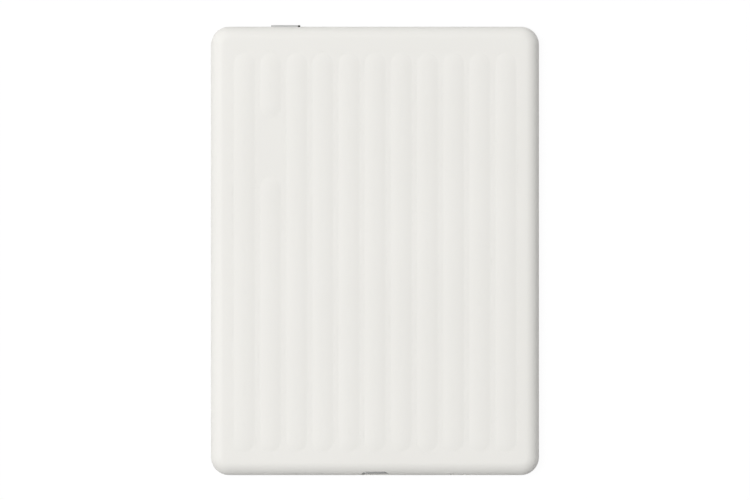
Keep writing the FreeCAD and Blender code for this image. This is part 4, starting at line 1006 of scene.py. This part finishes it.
tongue_black = painted(
    "tongue_black", (0.025, 0.025, 0.026), (0.038, 0.038, 0.04), (0.3, 0.45), grains=4000.0, depth=0.000003
)
low, high = box_mm("usb_tongue")
tongue_half, tongue_thick, tongue_base, tongue_root = 6.69 / 2, 0.35, 1.3, 0.5
blade = block(
    (-tongue_half, low.y, port_level - tongue_thick),
    (tongue_half, high.y - tongue_root, port_level + tongue_thick),
    0.14,
    3,
)
base = block((low.x, high.y - tongue_base, low.z), (high.x, high.y, high.z), 0.1, 2)
add_piece(carve(blade, base, "UNION"), "usb_tongue", tongue_black)
low, high = box_mm("usb_contacts")
contact_count, contact_pitch, contact_width, contact_rise = 12, 0.5, 0.28, 0.04
strips = []
for number in range(contact_count):
    x = contact_pitch * (number - (contact_count - 1) / 2)
    for bottom in (low.z, high.z - contact_rise):
        strips.append(block(
            (x - contact_width / 2, low.y, bottom),
            (x + contact_width / 2, high.y, bottom + contact_rise),
            0.015,
            1,
        ))
add_piece(gather(strips), "usb_contacts", gilt)

# ---- Reset switch and microphone ----
# A side-pressed switch stands behind the pinhole, and its nylon plunger slides in its body.
# The microphone stands on the board behind a rubber boot, with a woven mesh at the boot's mouth.

reset_x, sound_x = 29.1, 25.2
refinish(chip_black, "reset_switch_body", "power_switch_body")
low, high = box_mm("reset_switch_plunger")
add_piece(block(low, high, 0.12, 3), "reset_switch_plunger", nylon, body="reset_plunger")
low, high = box_mm("microphone")
add_piece(block(low, high, 0.12, 3), "microphone", can_steel)
mesh_steel = metal(
    "mesh_steel", (0.20, 0.20, 0.20), (0.10, 0.10, 0.10), (0.4, 0.6), grains=9000.0, depth=0.00004
)
refinish(mesh_steel, "microphone_mesh")

# ---- Power key ----
# A pale grey moulded cap floats in the cover's slot, held behind it by its flange. A near-black
# patch of painted shade is let into its +X end, where that end turns away from the light, and a short
# post on the flange presses the plunger of the side switch behind it.

cap_grey = painted(
    "cap_grey", (0.46, 0.46, 0.455), (0.43, 0.43, 0.425), (0.42, 0.52), grains=5200.0, depth=0.000003
)
# painted shade: a near-black finish that stands for the shade on the key's +X end
painted_end_shade = painted(
    "painted_end_shade", (0.012, 0.012, 0.012), (0.02, 0.02, 0.019), (0.22, 0.32), grains=3000.0, depth=0.000001
)
key_x = (key_low.x + key_high.x) / 2
key_level = (key_low.z + key_high.z) / 2
key_half, key_thick, key_round, key_edge = 9.7 / 2, 1.5 / 2, 0.7, 0.25
flange_face = body_y - side_wall - 0.1
flange_thick, post_half, post_thick = 0.6, 0.8, 0.45
shape = slab(key_half, key_thick, key_round, flange_face - flange_thick / 2, key_high.y, 10)
round_over(shape, level_edges(shape, key_high.y), key_edge, 5)
shape = turned(shape, key_x, key_level)
back = flange_face - flange_thick
key_flange = block((key_low.x, back, key_low.z), (key_high.x, flange_face, key_high.z), 0.06, 2)
shape = carve(shape, key_flange, "UNION")
foot = block(
    (key_x - post_half, key_low.y, key_level - post_thick),
    (key_x + post_half, back + 0.1, key_level + post_thick),
    0.08,
)
shape = carve(shape, foot, "UNION")
# painted shade: a shallow pocket near the cap's +X end, whose faces take the near-black finish
shade_inset, shade_half, shade_depth = 0.45, 0.34, 0.08
shade_x = key_x + key_half - shade_inset
shade_deep, shade_shallow = 0.95, 0.12
shade_low, shade_high = key_high.y - shade_deep, key_high.y - shade_shallow
shade_pocket = block((shade_x - shade_half, shade_low, key_level), (shade_x + shade_half, shade_high, key_high.z), 0.1, 3)
# here lens is the cutter for the painted-shade pocket: the cap's outline shrunk by the pocket's depth
lens = slab(
    key_half - shade_depth, key_thick - shade_depth, key_round - shade_depth, shade_low - 1, shade_high + 1, 10
)
shape = carve(shape, carve(shade_pocket, turned(lens, key_x, key_level)))
# the pocket's faces get the painted shade
for face in shape.faces:
    middle = face.calc_center_median()
    if abs(middle.x - shade_x) < shade_half + 0.01 and shade_low - 0.01 < middle.y < shade_high + 0.01:
        if key_level < middle.z < key_level + key_thick - 0.01:
            face.material_index = 1
add_piece(shape, "power_button", [cap_grey, painted_end_shade], body="power_key")
low, high = box_mm("power_switch_plunger")
add_piece(block(low, high, 0.12, 3), "power_switch_plunger", nylon, body="power_plunger")

# ---- Back cover ----
# The moulded back shell: one thin wall with broad rounded edges and eleven soft ribs.
# It snaps over the bezel's skirt with eight hooks, and carries the slot and holes of the edges.

cover_low, cover_high = box_mm("rear_cover")
seam = cover_low.z
rib_height = 0.2
flat_back = cover_high.z - rib_height
back_round = 4.4
back_wall = 0.9
inner_round = back_round - (side_wall + back_wall) / 2

outer = slab(body_x, body_y, corner, seam, flat_back, 24)
round_over(outer, level_edges(outer, flat_back), back_round, 16)
core = slab(body_x - side_wall, body_y - side_wall, corner - side_wall, seam - 1, flat_back - back_wall, 24)
round_over(core, level_edges(core, flat_back - back_wall), inner_round, 10)
shape = carve(outer, core)
seam_band = 0.3


def on_outline(vertex):
    """Whether a corner point of the seam lies on the cover's outer outline."""
    x, y = abs(vertex.co.x), abs(vertex.co.y)
    from_corner = (Vector((x, y)) - Vector((body_x - corner, body_y - corner))).length
    return x > body_x - seam_band or y > body_y - seam_band or from_corner > corner - seam_band


seam_edges = [e for e in level_edges(shape, seam) if all(on_outline(v) for v in e.verts)]
round_over(shape, seam_edges, seam_round, 2)

mouth_play = 0.08
reset_hole, sound_hole = 0.75, 0.5
key_play = 0.15
edge_reach = -body_y + back_round
slot = slab(
    key_half + key_play, key_thick + key_play, key_round + key_play, body_y - back_round, body_y + 1, 10
)
holes = [
    stadium(port_half + mouth_play, port_thick + mouth_play, port_level, -body_y - 1, edge_reach),
    post(reset_x, port_level, reset_hole, -body_y - 1, edge_reach, axis="Y"),
    post(sound_x, port_level, sound_hole, -body_y - 1, edge_reach, axis="Y"),
    turned(slot, key_x, key_level),
]
shape = carve(shape, gather(holes))
seat_deep = 2
seat = block(
    (key_low.x - key_play, body_y - side_wall - seat_deep, flange),
    (key_high.x + key_play, body_y - side_wall, key_high.z + key_play),
)
shape = carve(shape, seat)
hook_half, hook_reach, hook_low, hook_high = 3, 0.5, 1.45, 1.9
inner_face = body_x - side_wall
hooks = gather([
    block(
        (side * inner_face - hook_reach, y - hook_half, hook_low),
        (side * inner_face + hook_reach, y + hook_half, hook_high),
        0.1,
    )
    for side in (-1, 1) for y in hook_rows
])
shape = carve(shape, hooks, "UNION")

# the ribbed field is a fine sheet that takes the place of the flat back
rib_count = 11
rib_pitch = 8.58
rib_half = 3.5
crown = 3.25
slope = 2 * rib_height / rib_half
rib_foot, rib_head = 7.9, 8.75
plate_start, plate_end = 29.9, 49.5
rib_low = -body_y + rib_foot + rib_half
rib_high = body_y - rib_head - rib_half
plate_high = body_y - plate_start + rib_half
plate_low = body_y - plate_end - rib_half
# the second rib is parted by a flat strip, which is left bare
parted_rib = 1
first_rib = -rib_pitch * (rib_count - 1) / 2


def rib_rise(x, y):
    """Height over the flat back: a round crown that runs out into a soft valley."""
    number = min(max(round((x - first_rib) / rib_pitch), 0), rib_count - 1)
    spans = [(rib_low, rib_high)]
    if number == parted_rib:
        spans = [(rib_low, plate_low), (plate_high, rib_high)]
    beside = x - (first_rib + number * rib_pitch)
    away = min(math.hypot(beside, max(low - y, 0, y - high)) for low, high in spans)
    if away <= crown:
        return rib_height - slope * away * away / (2 * crown)
    if away < rib_half:
        return slope * (rib_half - away) ** 2 / (2 * (rib_half - crown))
    return 0.0


field_side, field_end = 0.2, 0.4
field_x = rib_pitch / 2 * rib_count + field_side
field_low = rib_low - rib_half - field_end
field_high = rib_high + rib_half + field_end

# its rows crowd at the ribs' ends and lie evenly between them, none closer than a least gap
end_steps, even_steps, least_gap = 12, 36, 0.2
rows = set()
for end, way in ((rib_low, -1), (rib_high, 1), (plate_high, -1), (plate_low, 1)):
    for step in range(-1, end_steps + 2):
        rows.add(round(end + way * step * rib_half / end_steps, 4))
for step in range(even_steps + 1):
    rows.add(round(field_low + step * (field_high - field_low) / even_steps, 4))
rows = sorted(y for y in rows if field_low <= y <= field_high)
kept_rows = [rows[0]]
for y in rows[1:]:
    if y - kept_rows[-1] > least_gap:
        kept_rows.append(y)
kept_rows[-1] = field_high
columns_per_rib = 30
columns = rib_count * columns_per_rib
sheet = bmesh.new()
bmesh.ops.create_grid(sheet, x_segments=columns, y_segments=len(kept_rows) - 1, size=1.0)
for vertex in sheet.verts:
    row = round((vertex.co.y + 1) / 2 * (len(kept_rows) - 1))
    vertex.co.x *= field_x
    vertex.co.y = kept_rows[row]
    vertex.co.z = flat_back + rib_rise(vertex.co.x, vertex.co.y)
flat_faces = [f for f in shape.faces if abs(f.calc_center_median().z - flat_back) < 1e-4]
flat = max(flat_faces, key=lambda f: f.calc_area())
bmesh.ops.delete(shape, geom=[flat], context="FACES_ONLY")
shape = gather([shape, sheet])
border = [e for e in shape.edges if e.is_boundary]
bmesh.ops.triangle_fill(shape, use_beauty=True, edges=border, normal=(0, 0, 1))
bmesh.ops.recalc_face_normals(shape, faces=shape.faces)
add_piece(shape, "rear_cover", shell_white)
